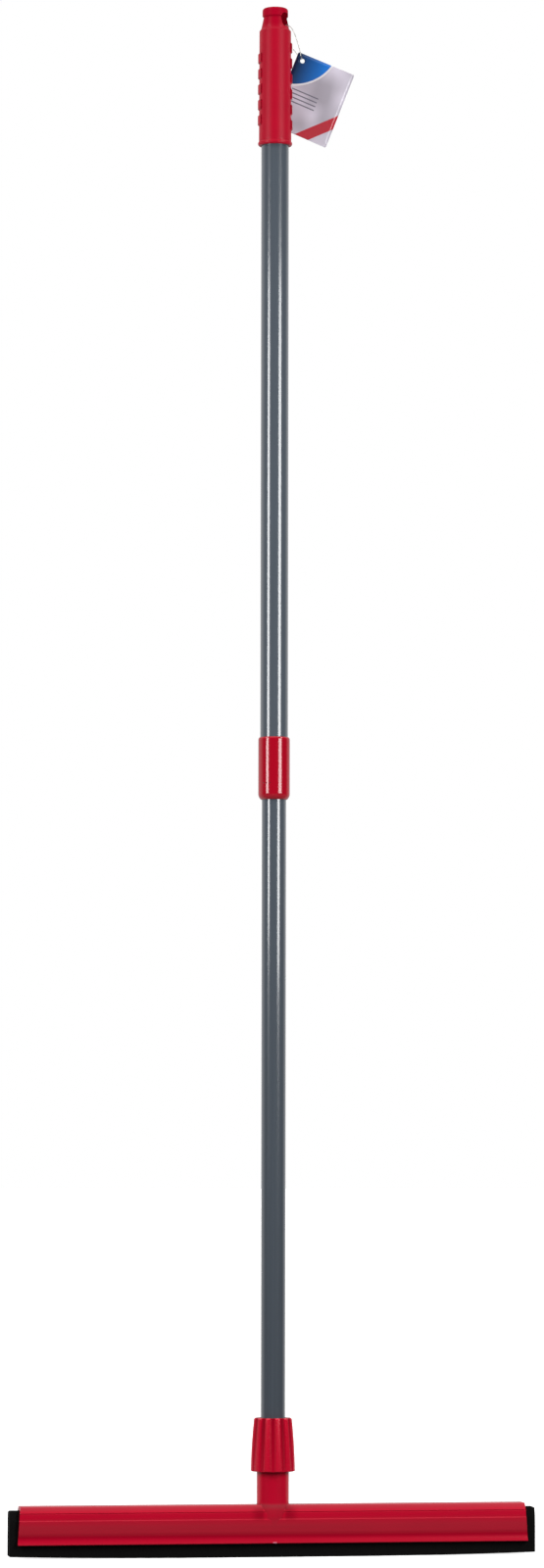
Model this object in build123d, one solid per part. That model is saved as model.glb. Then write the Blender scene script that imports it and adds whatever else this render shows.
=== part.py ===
from build123d import *
import os
from math import cos, radians, sin, tan

# Telescopic floor squeegee, in millimetres, with its pole pulled out.
# The origin is on the floor under the pole. X runs along the head, the front faces -Y, Z goes up the pole.

# Overall sizes
TOTAL_HEIGHT = 1340.0
FOAM_LENGTH = 454.0

# Head moulding: an upright channel with a top bead, a raised panel and a hollow lip
HEAD_END_DRAFT = 2.1
HEAD_CORNER_RADIUS = 0.6
HEAD_HEIGHT = 32.6
HEAD_DEPTH = 26.4
HEAD_WALL = 2.2
ROOF_WALL = 3.4
BEAD_DEPTH = 22.0
BEAD_HEIGHT = 5.7
BEAD_ROUNDING = 1.3
BEAD_SHOULDER = 4.2
BEAD_SLOPE = 2.0
BAND_TOP_STEP = 0.2
BAND_FOOT_STEP = 0.4
BAND_HEIGHT = 5.2
PANEL_STEP = 0.7
PANEL_CROWN = 0.3
LIP_STEP = 1.6
LIP_HEIGHT = 9.8
LIP_HOLLOW = 0.4
LIP_HOLLOW_HEIGHT = 6.2
LIP_EDGE_ROUNDING = 0.5
GROOVE_WIDTH = 0.8
GROOVE_DEPTH = 0.4

# Foam strips and the rail that spreads them
FOAM_SHOWING = 11.9
FOAM_OVERHANG = 7.0
FOAM_THICKNESS = 5.5
FOAM_FORK_HEIGHT = 4.0
FOAM_CLEARANCE = 0.3
FOAM_EDGE_ROUNDING = 2.0
RAIL_SHORTER = 3.0
RAIL_STEM = 2.0
RAIL_WALL = 1.8
SNAP_BEAD = 2.8
SNAP_RISE = 0.6
SNAP_CLEARANCE = 0.15

# Neck of the head and its pole socket
NECK_HEIGHT = 28.0
NECK_INTO_NUT = 2.0
NECK_SHOULDER = 0.85
NECK_FOOT_IN = 2.2
SOCKET_FLOOR_WALL = 5.5
SOCKET_WALL = 2.2
SOCKET_CLEARANCE = 0.3
SOCKET_TOP_UNDER_NUT_TOP = 19.0
MOUTH_DEPTH = 5.0
MOUTH_WALL = 0.7

# Clamp nut and clamp ring
NUT_HEIGHT = 45.5
NUT_SKIRT_WALL = 5.3
NUT_WAIST_IN = 0.55
NUT_WAIST_HEIGHT = 19.5
NUT_TOP_WALL = 6.1
NUT_TOP_CHAMFER = 1.2
NUT_EDGE_ROUNDING = 0.6
NUT_COUNTERBORE_DEPTH = 4.0
NUT_THREAD_CLEARANCE = 0.6
NUT_HOLE_CLEARANCE = 0.5
FLUTE_COUNT = 12
FLUTE_TURN = -8.5
FLUTE_RADIUS = 4.6
FLUTE_DEPTH_TOP = 1.4
FLUTE_DEPTH_BOTTOM = 0.6
RING_BORE_CLEARANCE = 0.2
RING_FLANGE = 2.8
RING_CONE = 9.0
RING_TIP_WALL = 0.5
RING_LOWER_CONE = 3.0
RING_SLIT = 2.0

# Pole tubes
LOWER_TUBE_DIAMETER = 21.0
TUBE_WALL = 0.6
TUBE_GAP = 0.9
TUBE_SHOWING = 530.5
TUBE_OVERLAP = 46.0
STOP_BEAD_HEIGHT = 4.0
STOP_BEAD_CLEARANCE = 0.35

# Plug in the foot of the lower tube
PLUG_FLANGE = 2.0
PLUG_LENGTH = 18.0
PLUG_WALL = 2.0
PLUG_RIBS = 2
PLUG_RIB_HEIGHT = 1.6
PLUG_RIB_PROUD = 0.8
PLUG_FIT = 0.1

# Twist lock inside the pole
CORE_PLUG_LENGTH = 30.0
CORE_FLANGE = 2.5
PIN_DIAMETER = 13.0
PIN_OFFSET = 0.6
PEG_DIAMETER = 5.0
PEG_LENGTH = 11.0
PEG_FIT = 0.1
LOCK_CAP_THICKNESS = 3.0
LOCK_CAP_EDGE = 0.4
LOCK_RING_HEIGHT = 20.0
LOCK_RING_SLIT = 5.0
LOCK_RING_GROOVES = 4
LOCK_RING_GROOVE = 1.2
LOCK_RING_GROOVE_DEPTH = 0.6
RUNNING_CLEARANCE = 0.3

# Collar at the mouth of the upper tube
COLLAR_LENGTH = 54.0
COLLAR_WALL = 1.65
COLLAR_FLANGE = 3.0
COLLAR_BORE_CLEARANCE = 0.4
COLLAR_BOTTOM_ROUNDING = 5.0
COLLAR_TOP_ROUNDING = 2.2
COLLAR_TOP_EDGE = 0.4
SLEEVE_FIT = 0.05

# Hand grip
GRIP_LENGTH = 121.0
TUBE_INTO_GRIP = 93.0
GRIP_RIM_WALL = 2.9
GRIP_RIM_HEIGHT = 3.6
GRIP_RIM_CROWN = 0.9
GRIP_RIM_BLEND = 1.8
GRIP_BOTTOM_WALL = 2.1
GRIP_TOP_WALL = 1.75
GRIP_NECK_HEIGHT = 19.8
GRIP_NECK_STEP = 1.65
GRIP_NECK_RISE = 2.0
GRIP_NECK_TAPER = 2.0
GRIP_SHOULDER_ROUNDING = 0.6
CAP_HEIGHT = 8.3
CAP_PROUD = 1.05
CAP_ROUNDING = 2.4
PAD_HEIGHT = 8.9
PAD_PITCH = 13.6
PAD_PROUD = 1.1
PAD_ROUNDING = 0.8
PAD_ARC = 46.0
LEFT_PADS = 5
LEFT_PADS_BELOW_TOP = 40.0
RIGHT_PADS = 6
RIGHT_PADS_BELOW_TOP = 30.5
SLOT_WIDTH = 11.0
SLOT_HEIGHT = 11.6
SLOT_CORNER = 2.5
SLOT_BELOW_TOP = 4.8
SLOT_TURN = -36.0

# Card on its thread
TAG_WIDTH = 53.0
TAG_HEIGHT = 68.5
TAG_THICKNESS = 0.4
TAG_LEAN = 21.0
TAG_CLEARANCE = 1.1
EYELET_DIAMETER = 4.0
EYELET_FROM_SIDE = 6.0
EYELET_FROM_TOP = 6.2
THREAD_DIAMETER = 0.8
THREAD_SIDES = 6
THREAD_SEAT_CLEARANCE = 0.25
KNOT_LENGTH = 3.2
KNOT_DIAMETER = 2.2
KNOT_WAIST_DIAMETER = 1.6
KNOT_TURNS = 3
ARC_SHARE = 0.45

# Levels along the pole
LIP_Z = FOAM_SHOWING
HEAD_TOP_Z = LIP_Z + HEAD_HEIGHT
ROOF_Z = HEAD_TOP_Z - ROOF_WALL
SOCKET_FLOOR_Z = HEAD_TOP_Z + SOCKET_FLOOR_WALL
NUT_Z = HEAD_TOP_Z + NECK_HEIGHT
NUT_TOP_Z = NUT_Z + NUT_HEIGHT
SOCKET_TOP_Z = NUT_TOP_Z - SOCKET_TOP_UNDER_NUT_TOP
LOWER_TUBE_Z = SOCKET_FLOOR_Z + PLUG_FLANGE
COLLAR_Z = NUT_TOP_Z + TUBE_SHOWING
COLLAR_TOP_Z = COLLAR_Z + COLLAR_LENGTH
UPPER_TUBE_Z = COLLAR_Z + COLLAR_FLANGE
LOWER_TUBE_TOP_Z = COLLAR_Z + TUBE_OVERLAP
LOCK_RING_Z = LOWER_TUBE_TOP_Z + CORE_FLANGE + RUNNING_CLEARANCE
LOCK_CAP_Z = LOCK_RING_Z + LOCK_RING_HEIGHT + RUNNING_CLEARANCE
GRIP_Z = TOTAL_HEIGHT - GRIP_LENGTH
UPPER_TUBE_TOP_Z = GRIP_Z + TUBE_INTO_GRIP
SHOULDER_Z = TOTAL_HEIGHT - GRIP_NECK_HEIGHT
SLOT_TOP_Z = TOTAL_HEIGHT - SLOT_BELOW_TOP
SLOT_MIDDLE_Z = SLOT_TOP_Z - SLOT_HEIGHT / 2
THREAD_Z = SLOT_TOP_Z - SLOT_HEIGHT + KNOT_DIAMETER / 2 + THREAD_SEAT_CLEARANCE

# Radii that follow from the lower tube, from the inside out
LOWER_RADIUS = LOWER_TUBE_DIAMETER / 2
LOWER_BORE = LOWER_RADIUS - TUBE_WALL
UPPER_BORE = LOWER_RADIUS + TUBE_GAP
UPPER_RADIUS = UPPER_BORE + TUBE_WALL
SLEEVE_BORE = UPPER_RADIUS + SLEEVE_FIT
SOCKET_RADIUS = LOWER_RADIUS + SOCKET_CLEARANCE
THREAD_CORE_RADIUS = SOCKET_RADIUS + SOCKET_WALL
MOUTH_RADIUS = THREAD_CORE_RADIUS - MOUTH_WALL
NECK_RADIUS = THREAD_CORE_RADIUS + NECK_SHOULDER
NUT_BOTTOM_RADIUS = NECK_RADIUS + NUT_SKIRT_WALL
NUT_WAIST_RADIUS = NUT_BOTTOM_RADIUS - NUT_WAIST_IN
NUT_TOP_RADIUS = LOWER_RADIUS + NUT_TOP_WALL
GRIP_RIM_RADIUS = UPPER_RADIUS + GRIP_RIM_WALL
GRIP_BOTTOM_RADIUS = UPPER_RADIUS + GRIP_BOTTOM_WALL
GRIP_TOP_RADIUS = UPPER_RADIUS + GRIP_TOP_WALL
GRIP_NECK_RADIUS = GRIP_TOP_RADIUS - GRIP_NECK_STEP
GRIP_WAIST_RADIUS = GRIP_NECK_RADIUS - GRIP_NECK_TAPER
CAP_RADIUS = GRIP_WAIST_RADIUS + CAP_PROUD
TAG_BACK = GRIP_RIM_RADIUS + TAG_CLEARANCE

# Route of the thread, up from the knot's level: through the slot, down to the card, up behind it and back
SLOT_X = cos(radians(SLOT_TURN))
SLOT_Y = sin(radians(SLOT_TURN))
KNOT_END = KNOT_LENGTH / 2
SLOT_REACH = 9.0
THREAD_ROUTE = [
    (SLOT_X * KNOT_END, SLOT_Y * KNOT_END, 0.0),
    (SLOT_X * SLOT_REACH, SLOT_Y * SLOT_REACH, 0.0),
    (14.8, -6.5, -2.2),
    (26.0, 13.2, -26.1),
    (26.0, 19.2, -25.3),
    (15.5, 18.4, -12.0),
    (1.5, 17.2, -2.5),
    (-10.5, 12.5, 0.4),
    (-SLOT_X * SLOT_REACH, -SLOT_Y * SLOT_REACH, 0.0),
    (-SLOT_X * KNOT_END, -SLOT_Y * KNOT_END, 0.0),
]
CARD_FRONT_POINT = THREAD_ROUTE[3]
CARD_BACK_POINT = THREAD_ROUTE[4]


def closed_face(*edges):
    """Face inside a closed run of edges."""
    return make_face(Curve() + list(edges))


def turned(*edges):
    """Solid turned about the pole's axis from edges drawn as (radius, height)."""
    return revolve(Plane.XZ * closed_face(*edges), Axis.Z)


def rod(radius, low, high):
    """Plain round rod about the pole's axis."""
    return Pos(0, 0, low) * Cylinder(radius, high - low, align=(Align.CENTER, Align.CENTER, Align.MIN))


def tube(outer, inner, low, high):
    """Plain tube about the pole's axis."""
    return rod(outer, low, high) - rod(inner, low, high)


def along_head(face, length):
    """Solid drawn along X from a section given as (depth, height)."""
    return extrude(Plane.YZ * face, length / 2, both=True)


def both_halves(*edges):
    """Face from the right half of an outline, closed by its mirror image."""
    half = Curve() + list(edges)
    return make_face(half + mirror(half, about=Plane.YZ))


# Half depths and points of the head's section that the shell, the foam and the rail share
HEAD_LENGTH = FOAM_LENGTH - 2 * FOAM_OVERHANG
BEAD_SIDE = BEAD_DEPTH / 2
BAND_TOP_SIDE = BEAD_SIDE + BAND_TOP_STEP
BAND_FOOT_SIDE = BEAD_SIDE + BAND_FOOT_STEP
LIP_SIDE = HEAD_DEPTH / 2
PANEL_FOOT_SIDE = LIP_SIDE - LIP_STEP
BAND_TOP_Z = HEAD_TOP_Z - BEAD_HEIGHT - GROOVE_WIDTH
BAND_FOOT_Z = BAND_TOP_Z - BAND_HEIGHT
PANEL_FOOT_Z = LIP_Z + LIP_HEIGHT
CHANNEL_TOP = (BEAD_SIDE - BEAD_SLOPE - HEAD_WALL, ROOF_Z)
CHANNEL_BAND = (BAND_FOOT_SIDE - HEAD_WALL, BAND_FOOT_Z)
CHANNEL_PANEL = (PANEL_FOOT_SIDE - HEAD_WALL, PANEL_FOOT_Z)


def head_section():
    """Outside of the channel: sloping bead, groove, band, crowned panel and hollow lip."""
    top_edge = (BEAD_SIDE - BEAD_SHOULDER, HEAD_TOP_Z)
    bead_high = (BEAD_SIDE - BEAD_SLOPE, HEAD_TOP_Z - BEAD_ROUNDING)
    bead_foot = (BEAD_SIDE, HEAD_TOP_Z - BEAD_HEIGHT)
    upper_groove = (BEAD_SIDE - GROOVE_DEPTH, HEAD_TOP_Z - BEAD_HEIGHT - GROOVE_WIDTH / 2)
    band_top = (BAND_TOP_SIDE, BAND_TOP_Z)
    band_foot = (BAND_FOOT_SIDE, BAND_FOOT_Z)
    panel_foot = (PANEL_FOOT_SIDE, PANEL_FOOT_Z)
    panel_top = (BAND_FOOT_SIDE + PANEL_STEP, BAND_FOOT_Z - PANEL_STEP)
    panel_middle = ((panel_top[0] + panel_foot[0]) / 2 + PANEL_CROWN, (panel_top[1] + panel_foot[1]) / 2)
    lip_middle = (PANEL_FOOT_SIDE - LIP_HOLLOW, LIP_Z + LIP_HOLLOW_HEIGHT)
    lip_low = (LIP_SIDE, LIP_Z + LIP_EDGE_ROUNDING)
    lip_edge = (LIP_SIDE - LIP_EDGE_ROUNDING, LIP_Z)
    return both_halves(
        Line((0, HEAD_TOP_Z), top_edge),
        TangentArc(top_edge, bead_high, tangent=(1, 0)),
        Polyline(bead_high, bead_foot, upper_groove, band_top, band_foot, panel_top),
        ThreePointArc(panel_top, panel_middle, panel_foot),
        ThreePointArc(panel_foot, lip_middle, lip_low),
        Polyline(lip_low, lip_edge, (0, LIP_Z)),
    )


def channel_section():
    """Hollow under the roof, open at the bottom, with the groove that takes the rail's bead."""
    hollow = both_halves(
        Polyline(
            (0, ROOF_Z),
            CHANNEL_TOP,
            CHANNEL_BAND,
            CHANNEL_PANEL,
            (CHANNEL_PANEL[0], 0),
            (0, 0),
        )
    )
    return hollow + Pos(0, ROOF_Z + SNAP_RISE) * Circle(SNAP_BEAD / 2 + SNAP_CLEARANCE)


def head_outline():
    """Front view of the head: ends that lean in, with rounded upper corners."""
    half_lip = HEAD_LENGTH / 2
    half_top = half_lip - HEAD_END_DRAFT
    outline = make_face(
        Polyline(
            (-half_lip, LIP_Z),
            (half_lip, LIP_Z),
            (half_top, HEAD_TOP_Z),
            (-half_top, HEAD_TOP_Z),
            close=True,
        )
    )
    return fillet(outline.vertices().group_by(Axis.Y)[-1], HEAD_CORNER_RADIUS)


def neck_foot(side):
    """Round foot under the neck that leans in from the front (-1) or the back (1)."""
    lean = Vector(0, -side * NECK_FOOT_IN, PANEL_FOOT_Z - HEAD_TOP_Z)
    return extrude(Pos(0, 0, HEAD_TOP_Z) * Circle(NECK_RADIUS), lean.length, dir=lean)


def squeegee_head():
    """Channel moulding with the neck that holds the pole."""
    bar = along_head(head_section(), HEAD_LENGTH)
    bar &= extrude(Plane.XZ * head_outline(), HEAD_DEPTH, both=True)
    neck = rod(NECK_RADIUS, HEAD_TOP_Z, NUT_Z + NECK_INTO_NUT)
    neck += rod(THREAD_CORE_RADIUS, NUT_Z, SOCKET_TOP_Z)
    neck += neck_foot(-1) & neck_foot(1)
    socket = rod(SOCKET_RADIUS, SOCKET_FLOOR_Z, SOCKET_TOP_Z)
    mouth = Pos(0, 0, SOCKET_TOP_Z - MOUTH_DEPTH) * Cone(
        SOCKET_RADIUS, MOUTH_RADIUS, MOUTH_DEPTH, align=(Align.CENTER, Align.CENTER, Align.MIN)
    )
    channel = along_head(channel_section(), HEAD_LENGTH + HEAD_END_DRAFT)
    return bar + neck - channel - socket - mouth


# Outer face of a foam strip lies a clearance inside the channel, its inner face against the rail
FOAM_TOP = (CHANNEL_TOP[0] - FOAM_CLEARANCE, ROOF_Z - FOAM_CLEARANCE)
FOAM_BAND = (CHANNEL_BAND[0] - FOAM_CLEARANCE, CHANNEL_BAND[1] - FOAM_CLEARANCE)
FOAM_PANEL = (CHANNEL_PANEL[0] - FOAM_CLEARANCE, CHANNEL_PANEL[1] - FOAM_CLEARANCE)
STEM_SIDE = RAIL_STEM / 2 + FOAM_CLEARANCE
FOAM_INNER_PANEL = (FOAM_PANEL[0] - FOAM_THICKNESS, FOAM_PANEL[1] - FOAM_CLEARANCE)
FOAM_INNER_FORK = (STEM_SIDE, FOAM_INNER_PANEL[1] + FOAM_FORK_HEIGHT)
FORK_SLOPE = FOAM_FORK_HEIGHT / (FOAM_INNER_PANEL[0] - STEM_SIDE)


def foam_lip():
    """Foam strip that follows the channel wall down and stands upright on the floor."""
    section = make_face(
        Polyline(
            (STEM_SIDE, FOAM_TOP[1]),
            FOAM_TOP,
            FOAM_BAND,
            FOAM_PANEL,
            (FOAM_PANEL[0], 0),
            (FOAM_INNER_PANEL[0], 0),
            FOAM_INNER_PANEL,
            FOAM_INNER_FORK,
            close=True,
        )
    )
    strip = along_head(section, FOAM_LENGTH)
    upper_ends = strip.edges().filter_by(Axis.Y).group_by(Axis.Z)[-1]
    return fillet(upper_ends, FOAM_EDGE_ROUNDING)


def spreader_rail():
    """Rail with a stem, a bead that snaps into the roof and two legs that push the strips outwards."""
    leg_top = (RAIL_STEM / 2, FOAM_INNER_FORK[1] - FOAM_CLEARANCE)
    leg_foot = (FOAM_INNER_PANEL[0] - FOAM_CLEARANCE, FOAM_INNER_PANEL[1] - FOAM_CLEARANCE)
    leg_width = RAIL_WALL * (1 + FORK_SLOPE**2) ** 0.5 / FORK_SLOPE
    hollow_side = leg_foot[0] - leg_width
    hollow_top = (0, leg_foot[1] + hollow_side * FORK_SLOPE)
    legs = both_halves(
        Polyline((0, ROOF_Z), (RAIL_STEM / 2, ROOF_Z), leg_top, leg_foot, (0, leg_foot[1]))
    )
    hollow = both_halves(Polyline(hollow_top, (hollow_side, leg_foot[1]), (0, leg_foot[1])))
    section = legs - hollow + Pos(0, ROOF_Z + SNAP_RISE) * Circle(SNAP_BEAD / 2)
    return along_head(section, HEAD_LENGTH - 2 * HEAD_END_DRAFT - 2 * RAIL_SHORTER)


# Clamp cones: the ring's lower cone sits in the mouth, its upper cone under the nut's
RING_BORE = LOWER_RADIUS + RING_BORE_CLEARANCE
RING_FLANGE_RADIUS = THREAD_CORE_RADIUS
RING_FLANGE_Z = SOCKET_TOP_Z + RUNNING_CLEARANCE
RING_CONE_Z = RING_FLANGE_Z + RING_FLANGE
RING_TOP_Z = RING_CONE_Z + RING_CONE
MOUTH_SLOPE = (MOUTH_RADIUS - SOCKET_RADIUS) / MOUTH_DEPTH
NUT_THREAD_BORE = THREAD_CORE_RADIUS + NUT_THREAD_CLEARANCE


def clamp_ring():
    """Split ring with a cone at each end and a flange between them."""
    lower_radius = MOUTH_RADIUS - RUNNING_CLEARANCE
    tip_radius = lower_radius - RING_LOWER_CONE * MOUTH_SLOPE
    ring = turned(
        Polyline(
            (RING_BORE, SOCKET_TOP_Z - RING_LOWER_CONE),
            (tip_radius, SOCKET_TOP_Z - RING_LOWER_CONE),
            (lower_radius, SOCKET_TOP_Z),
            (lower_radius, RING_FLANGE_Z),
            (RING_FLANGE_RADIUS, RING_FLANGE_Z),
            (RING_FLANGE_RADIUS, RING_CONE_Z),
            (RING_BORE + RING_TIP_WALL, RING_TOP_Z),
            (RING_BORE, RING_TOP_Z),
            close=True,
        )
    )
    slit = Pos(0, RING_FLANGE_RADIUS, RING_FLANGE_Z) * Box(RING_SLIT, 2 * RING_FLANGE_RADIUS, NUT_HEIGHT)
    return ring - slit


def flute_cutter(turn):
    """Round cutter that leans with the nut's taper, deeper at the top."""
    top_radius = NUT_TOP_RADIUS - FLUTE_DEPTH_TOP + FLUTE_RADIUS
    bottom_radius = NUT_BOTTOM_RADIUS - FLUTE_DEPTH_BOTTOM + FLUTE_RADIUS
    lean = (bottom_radius - top_radius) / NUT_HEIGHT
    beyond = NUT_HEIGHT / 2
    low = Vector(bottom_radius + lean * beyond, 0, NUT_Z - beyond)
    high = Vector(top_radius - lean * beyond, 0, NUT_TOP_Z + beyond)
    path = Line(low, high)
    cutter = extrude(Plane(low, z_dir=path % 0) * Circle(FLUTE_RADIUS), path.length)
    return Rot(0, 0, turn) * cutter


def clamp_nut():
    """Fluted nut with a curved taper, a thread bore and an inner cone that squeezes the ring."""
    counterbore = NECK_RADIUS + NUT_HOLE_CLEARANCE
    hole = LOWER_RADIUS + NUT_HOLE_CLEARANCE
    outer_low = (NUT_BOTTOM_RADIUS, NUT_Z + NUT_EDGE_ROUNDING)
    waist = (NUT_WAIST_RADIUS, NUT_Z + NUT_WAIST_HEIGHT)
    outer_high = (NUT_TOP_RADIUS, NUT_TOP_Z - NUT_TOP_CHAMFER)
    nut = turned(
        Polyline((counterbore, NUT_Z), (NUT_BOTTOM_RADIUS - NUT_EDGE_ROUNDING, NUT_Z), outer_low),
        ThreePointArc(outer_low, waist, outer_high),
        Polyline(
            outer_high,
            (NUT_TOP_RADIUS - NUT_TOP_CHAMFER, NUT_TOP_Z),
            (hole, NUT_TOP_Z),
            (hole, RING_TOP_Z + RUNNING_CLEARANCE),
            (RING_BORE + RING_TIP_WALL + RUNNING_CLEARANCE, RING_TOP_Z + RUNNING_CLEARANCE),
            (RING_FLANGE_RADIUS + RUNNING_CLEARANCE, RING_CONE_Z + RUNNING_CLEARANCE),
            (NUT_THREAD_BORE, RING_CONE_Z + RUNNING_CLEARANCE),
            (NUT_THREAD_BORE, NUT_Z + NUT_COUNTERBORE_DEPTH),
            (counterbore, NUT_Z + NUT_COUNTERBORE_DEPTH),
            (counterbore, NUT_Z),
        ),
    )
    first = FLUTE_TURN - 90
    flutes = [flute_cutter(first + index * 360 / FLUTE_COUNT) for index in range(FLUTE_COUNT)]
    return nut - flutes


def foot_plug():
    """Hollow plug with push-in ribs and a flange that closes the tube."""
    rib_radius = LOWER_BORE - PLUG_FIT
    body_radius = rib_radius - PLUG_RIB_PROUD
    plug = rod(LOWER_RADIUS, SOCKET_FLOOR_Z, LOWER_TUBE_Z)
    plug += rod(body_radius, SOCKET_FLOOR_Z, LOWER_TUBE_Z + PLUG_LENGTH)
    rib_pitch = PLUG_LENGTH / (PLUG_RIBS + 1)
    for index in range(1, PLUG_RIBS + 1):
        middle = LOWER_TUBE_Z + index * rib_pitch
        plug += rod(rib_radius, middle - PLUG_RIB_HEIGHT / 2, middle + PLUG_RIB_HEIGHT / 2)
    return plug - rod(body_radius - PLUG_WALL, LOWER_TUBE_Z, LOWER_TUBE_Z + PLUG_LENGTH)


def lower_tube():
    """Inner tube of the pole."""
    return tube(LOWER_RADIUS, LOWER_BORE, LOWER_TUBE_Z, LOWER_TUBE_TOP_Z)


def lock_core():
    """Plug in the tube's top end, with a flange and an eccentric pin for the lock ring."""
    core = rod(LOWER_BORE - PLUG_FIT, LOWER_TUBE_TOP_Z - CORE_PLUG_LENGTH, LOWER_TUBE_TOP_Z)
    core += rod(LOWER_RADIUS, LOWER_TUBE_TOP_Z, LOWER_TUBE_TOP_Z + CORE_FLANGE)
    core += Pos(PIN_OFFSET, 0, 0) * rod(PIN_DIAMETER / 2, LOWER_TUBE_TOP_Z, LOCK_CAP_Z)
    peg_hole = rod(PEG_DIAMETER / 2 + PEG_FIT, LOCK_CAP_Z - PEG_LENGTH - PEG_FIT, LOCK_CAP_Z)
    return core - Pos(PIN_OFFSET, 0, 0) * peg_hole


def lock_ring():
    """Split friction ring with grooves, loose enough on the eccentric pin to turn with the outer tube."""
    outer = UPPER_BORE - RUNNING_CLEARANCE
    bore = PIN_DIAMETER / 2 + PIN_OFFSET + RUNNING_CLEARANCE
    top = LOCK_RING_Z + LOCK_RING_HEIGHT
    ring = tube(outer, bore, LOCK_RING_Z, top)
    pitch = LOCK_RING_HEIGHT / (LOCK_RING_GROOVES + 1)
    for index in range(1, LOCK_RING_GROOVES + 1):
        low = LOCK_RING_Z + index * pitch - LOCK_RING_GROOVE / 2
        ring -= tube(outer, outer - LOCK_RING_GROOVE_DEPTH, low, low + LOCK_RING_GROOVE)
    return ring - Pos(-outer, 0, LOCK_RING_Z) * Box(2 * outer, LOCK_RING_SLIT, 2 * LOCK_RING_HEIGHT)


def lock_cap():
    """Disc with a peg that keeps the ring on its pin."""
    radius = LOWER_RADIUS - LOCK_CAP_EDGE
    disc = rod(radius, LOCK_CAP_Z, LOCK_CAP_Z + LOCK_CAP_THICKNESS)
    disc = chamfer(disc.edges().group_by(Axis.Z)[-1], LOCK_CAP_EDGE)
    return disc + Pos(PIN_OFFSET, 0, 0) * rod(PEG_DIAMETER / 2, LOCK_CAP_Z - PEG_LENGTH, LOCK_CAP_Z)


def upper_tube():
    """Outer tube, with a stop bead rolled in under the collar so that the lock can't pull out."""
    bead_inner = LOWER_RADIUS + STOP_BEAD_CLEARANCE
    bead_top = LOCK_RING_Z - RUNNING_CLEARANCE
    bead_middle = bead_top - STOP_BEAD_HEIGHT / 2
    bead_low = bead_top - STOP_BEAD_HEIGHT
    return turned(
        Polyline(
            (UPPER_BORE, bead_low),
            (UPPER_BORE, UPPER_TUBE_Z),
            (UPPER_RADIUS, UPPER_TUBE_Z),
            (UPPER_RADIUS, bead_low),
        ),
        ThreePointArc(
            (UPPER_RADIUS, bead_low), (bead_inner + TUBE_WALL, bead_middle), (UPPER_RADIUS, bead_top)
        ),
        Polyline(
            (UPPER_RADIUS, bead_top),
            (UPPER_RADIUS, UPPER_TUBE_TOP_Z),
            (UPPER_BORE, UPPER_TUBE_TOP_Z),
            (UPPER_BORE, bead_top),
        ),
        ThreePointArc((UPPER_BORE, bead_top), (bead_inner, bead_middle), (UPPER_BORE, bead_low)),
    )


def collar():
    """Sleeve over the end of the upper tube, with a flange that guides the lower tube."""
    outer = UPPER_RADIUS + COLLAR_WALL
    guide = LOWER_RADIUS + COLLAR_BORE_CLEARANCE
    bottom_inner = (guide + COLLAR_BORE_CLEARANCE, COLLAR_Z)
    bottom_outer = (outer, COLLAR_Z + COLLAR_BOTTOM_ROUNDING)
    top_outer = (outer, COLLAR_TOP_Z - COLLAR_TOP_ROUNDING)
    top_inner = (SLEEVE_BORE + COLLAR_TOP_EDGE, COLLAR_TOP_Z)
    return turned(
        Line((guide, COLLAR_Z), bottom_inner),
        TangentArc(bottom_outer, bottom_inner, tangent=(0, -1)),
        Line(bottom_outer, top_outer),
        TangentArc(top_outer, top_inner, tangent=(0, 1)),
        Polyline(
            top_inner,
            (SLEEVE_BORE, COLLAR_TOP_Z),
            (SLEEVE_BORE, UPPER_TUBE_Z),
            (guide, UPPER_TUBE_Z),
            (guide, COLLAR_Z),
        ),
    )


def grip_body():
    """Grip turned to its outline: rim, slim body, shoulder, waisted neck and rounded cap."""
    rim_low = (GRIP_RIM_RADIUS - GRIP_RIM_CROWN, GRIP_Z)
    rim_middle = (GRIP_RIM_RADIUS, GRIP_Z + GRIP_RIM_HEIGHT / 2)
    rim_high = (GRIP_RIM_RADIUS - GRIP_RIM_CROWN, GRIP_Z + GRIP_RIM_HEIGHT)
    body_low = (GRIP_BOTTOM_RADIUS, GRIP_Z + GRIP_RIM_HEIGHT + GRIP_RIM_BLEND)
    body_high = (GRIP_TOP_RADIUS, SHOULDER_Z - GRIP_SHOULDER_ROUNDING)
    shoulder = (GRIP_TOP_RADIUS - GRIP_SHOULDER_ROUNDING, SHOULDER_Z)
    neck_low = (GRIP_NECK_RADIUS, SHOULDER_Z + GRIP_NECK_RISE)
    waist = (GRIP_WAIST_RADIUS, TOTAL_HEIGHT - CAP_HEIGHT)
    cap_foot = (CAP_RADIUS, TOTAL_HEIGHT - CAP_HEIGHT + CAP_PROUD)
    cap_side = (CAP_RADIUS, TOTAL_HEIGHT - CAP_ROUNDING)
    cap_edge = (CAP_RADIUS - CAP_ROUNDING, TOTAL_HEIGHT)
    return turned(
        Line((SLEEVE_BORE, GRIP_Z), rim_low),
        ThreePointArc(rim_low, rim_middle, rim_high),
        Polyline(rim_high, body_low, body_high),
        TangentArc(body_high, shoulder, tangent=(0, 1)),
        Polyline(shoulder, neck_low, waist, cap_foot, cap_side),
        TangentArc(cap_side, cap_edge, tangent=(0, 1)),
        Polyline(
            cap_edge,
            (0, TOTAL_HEIGHT),
            (0, UPPER_TUBE_TOP_Z),
            (SLEEVE_BORE, UPPER_TUBE_TOP_Z),
            (SLEEVE_BORE, GRIP_Z),
        ),
    )


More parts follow.
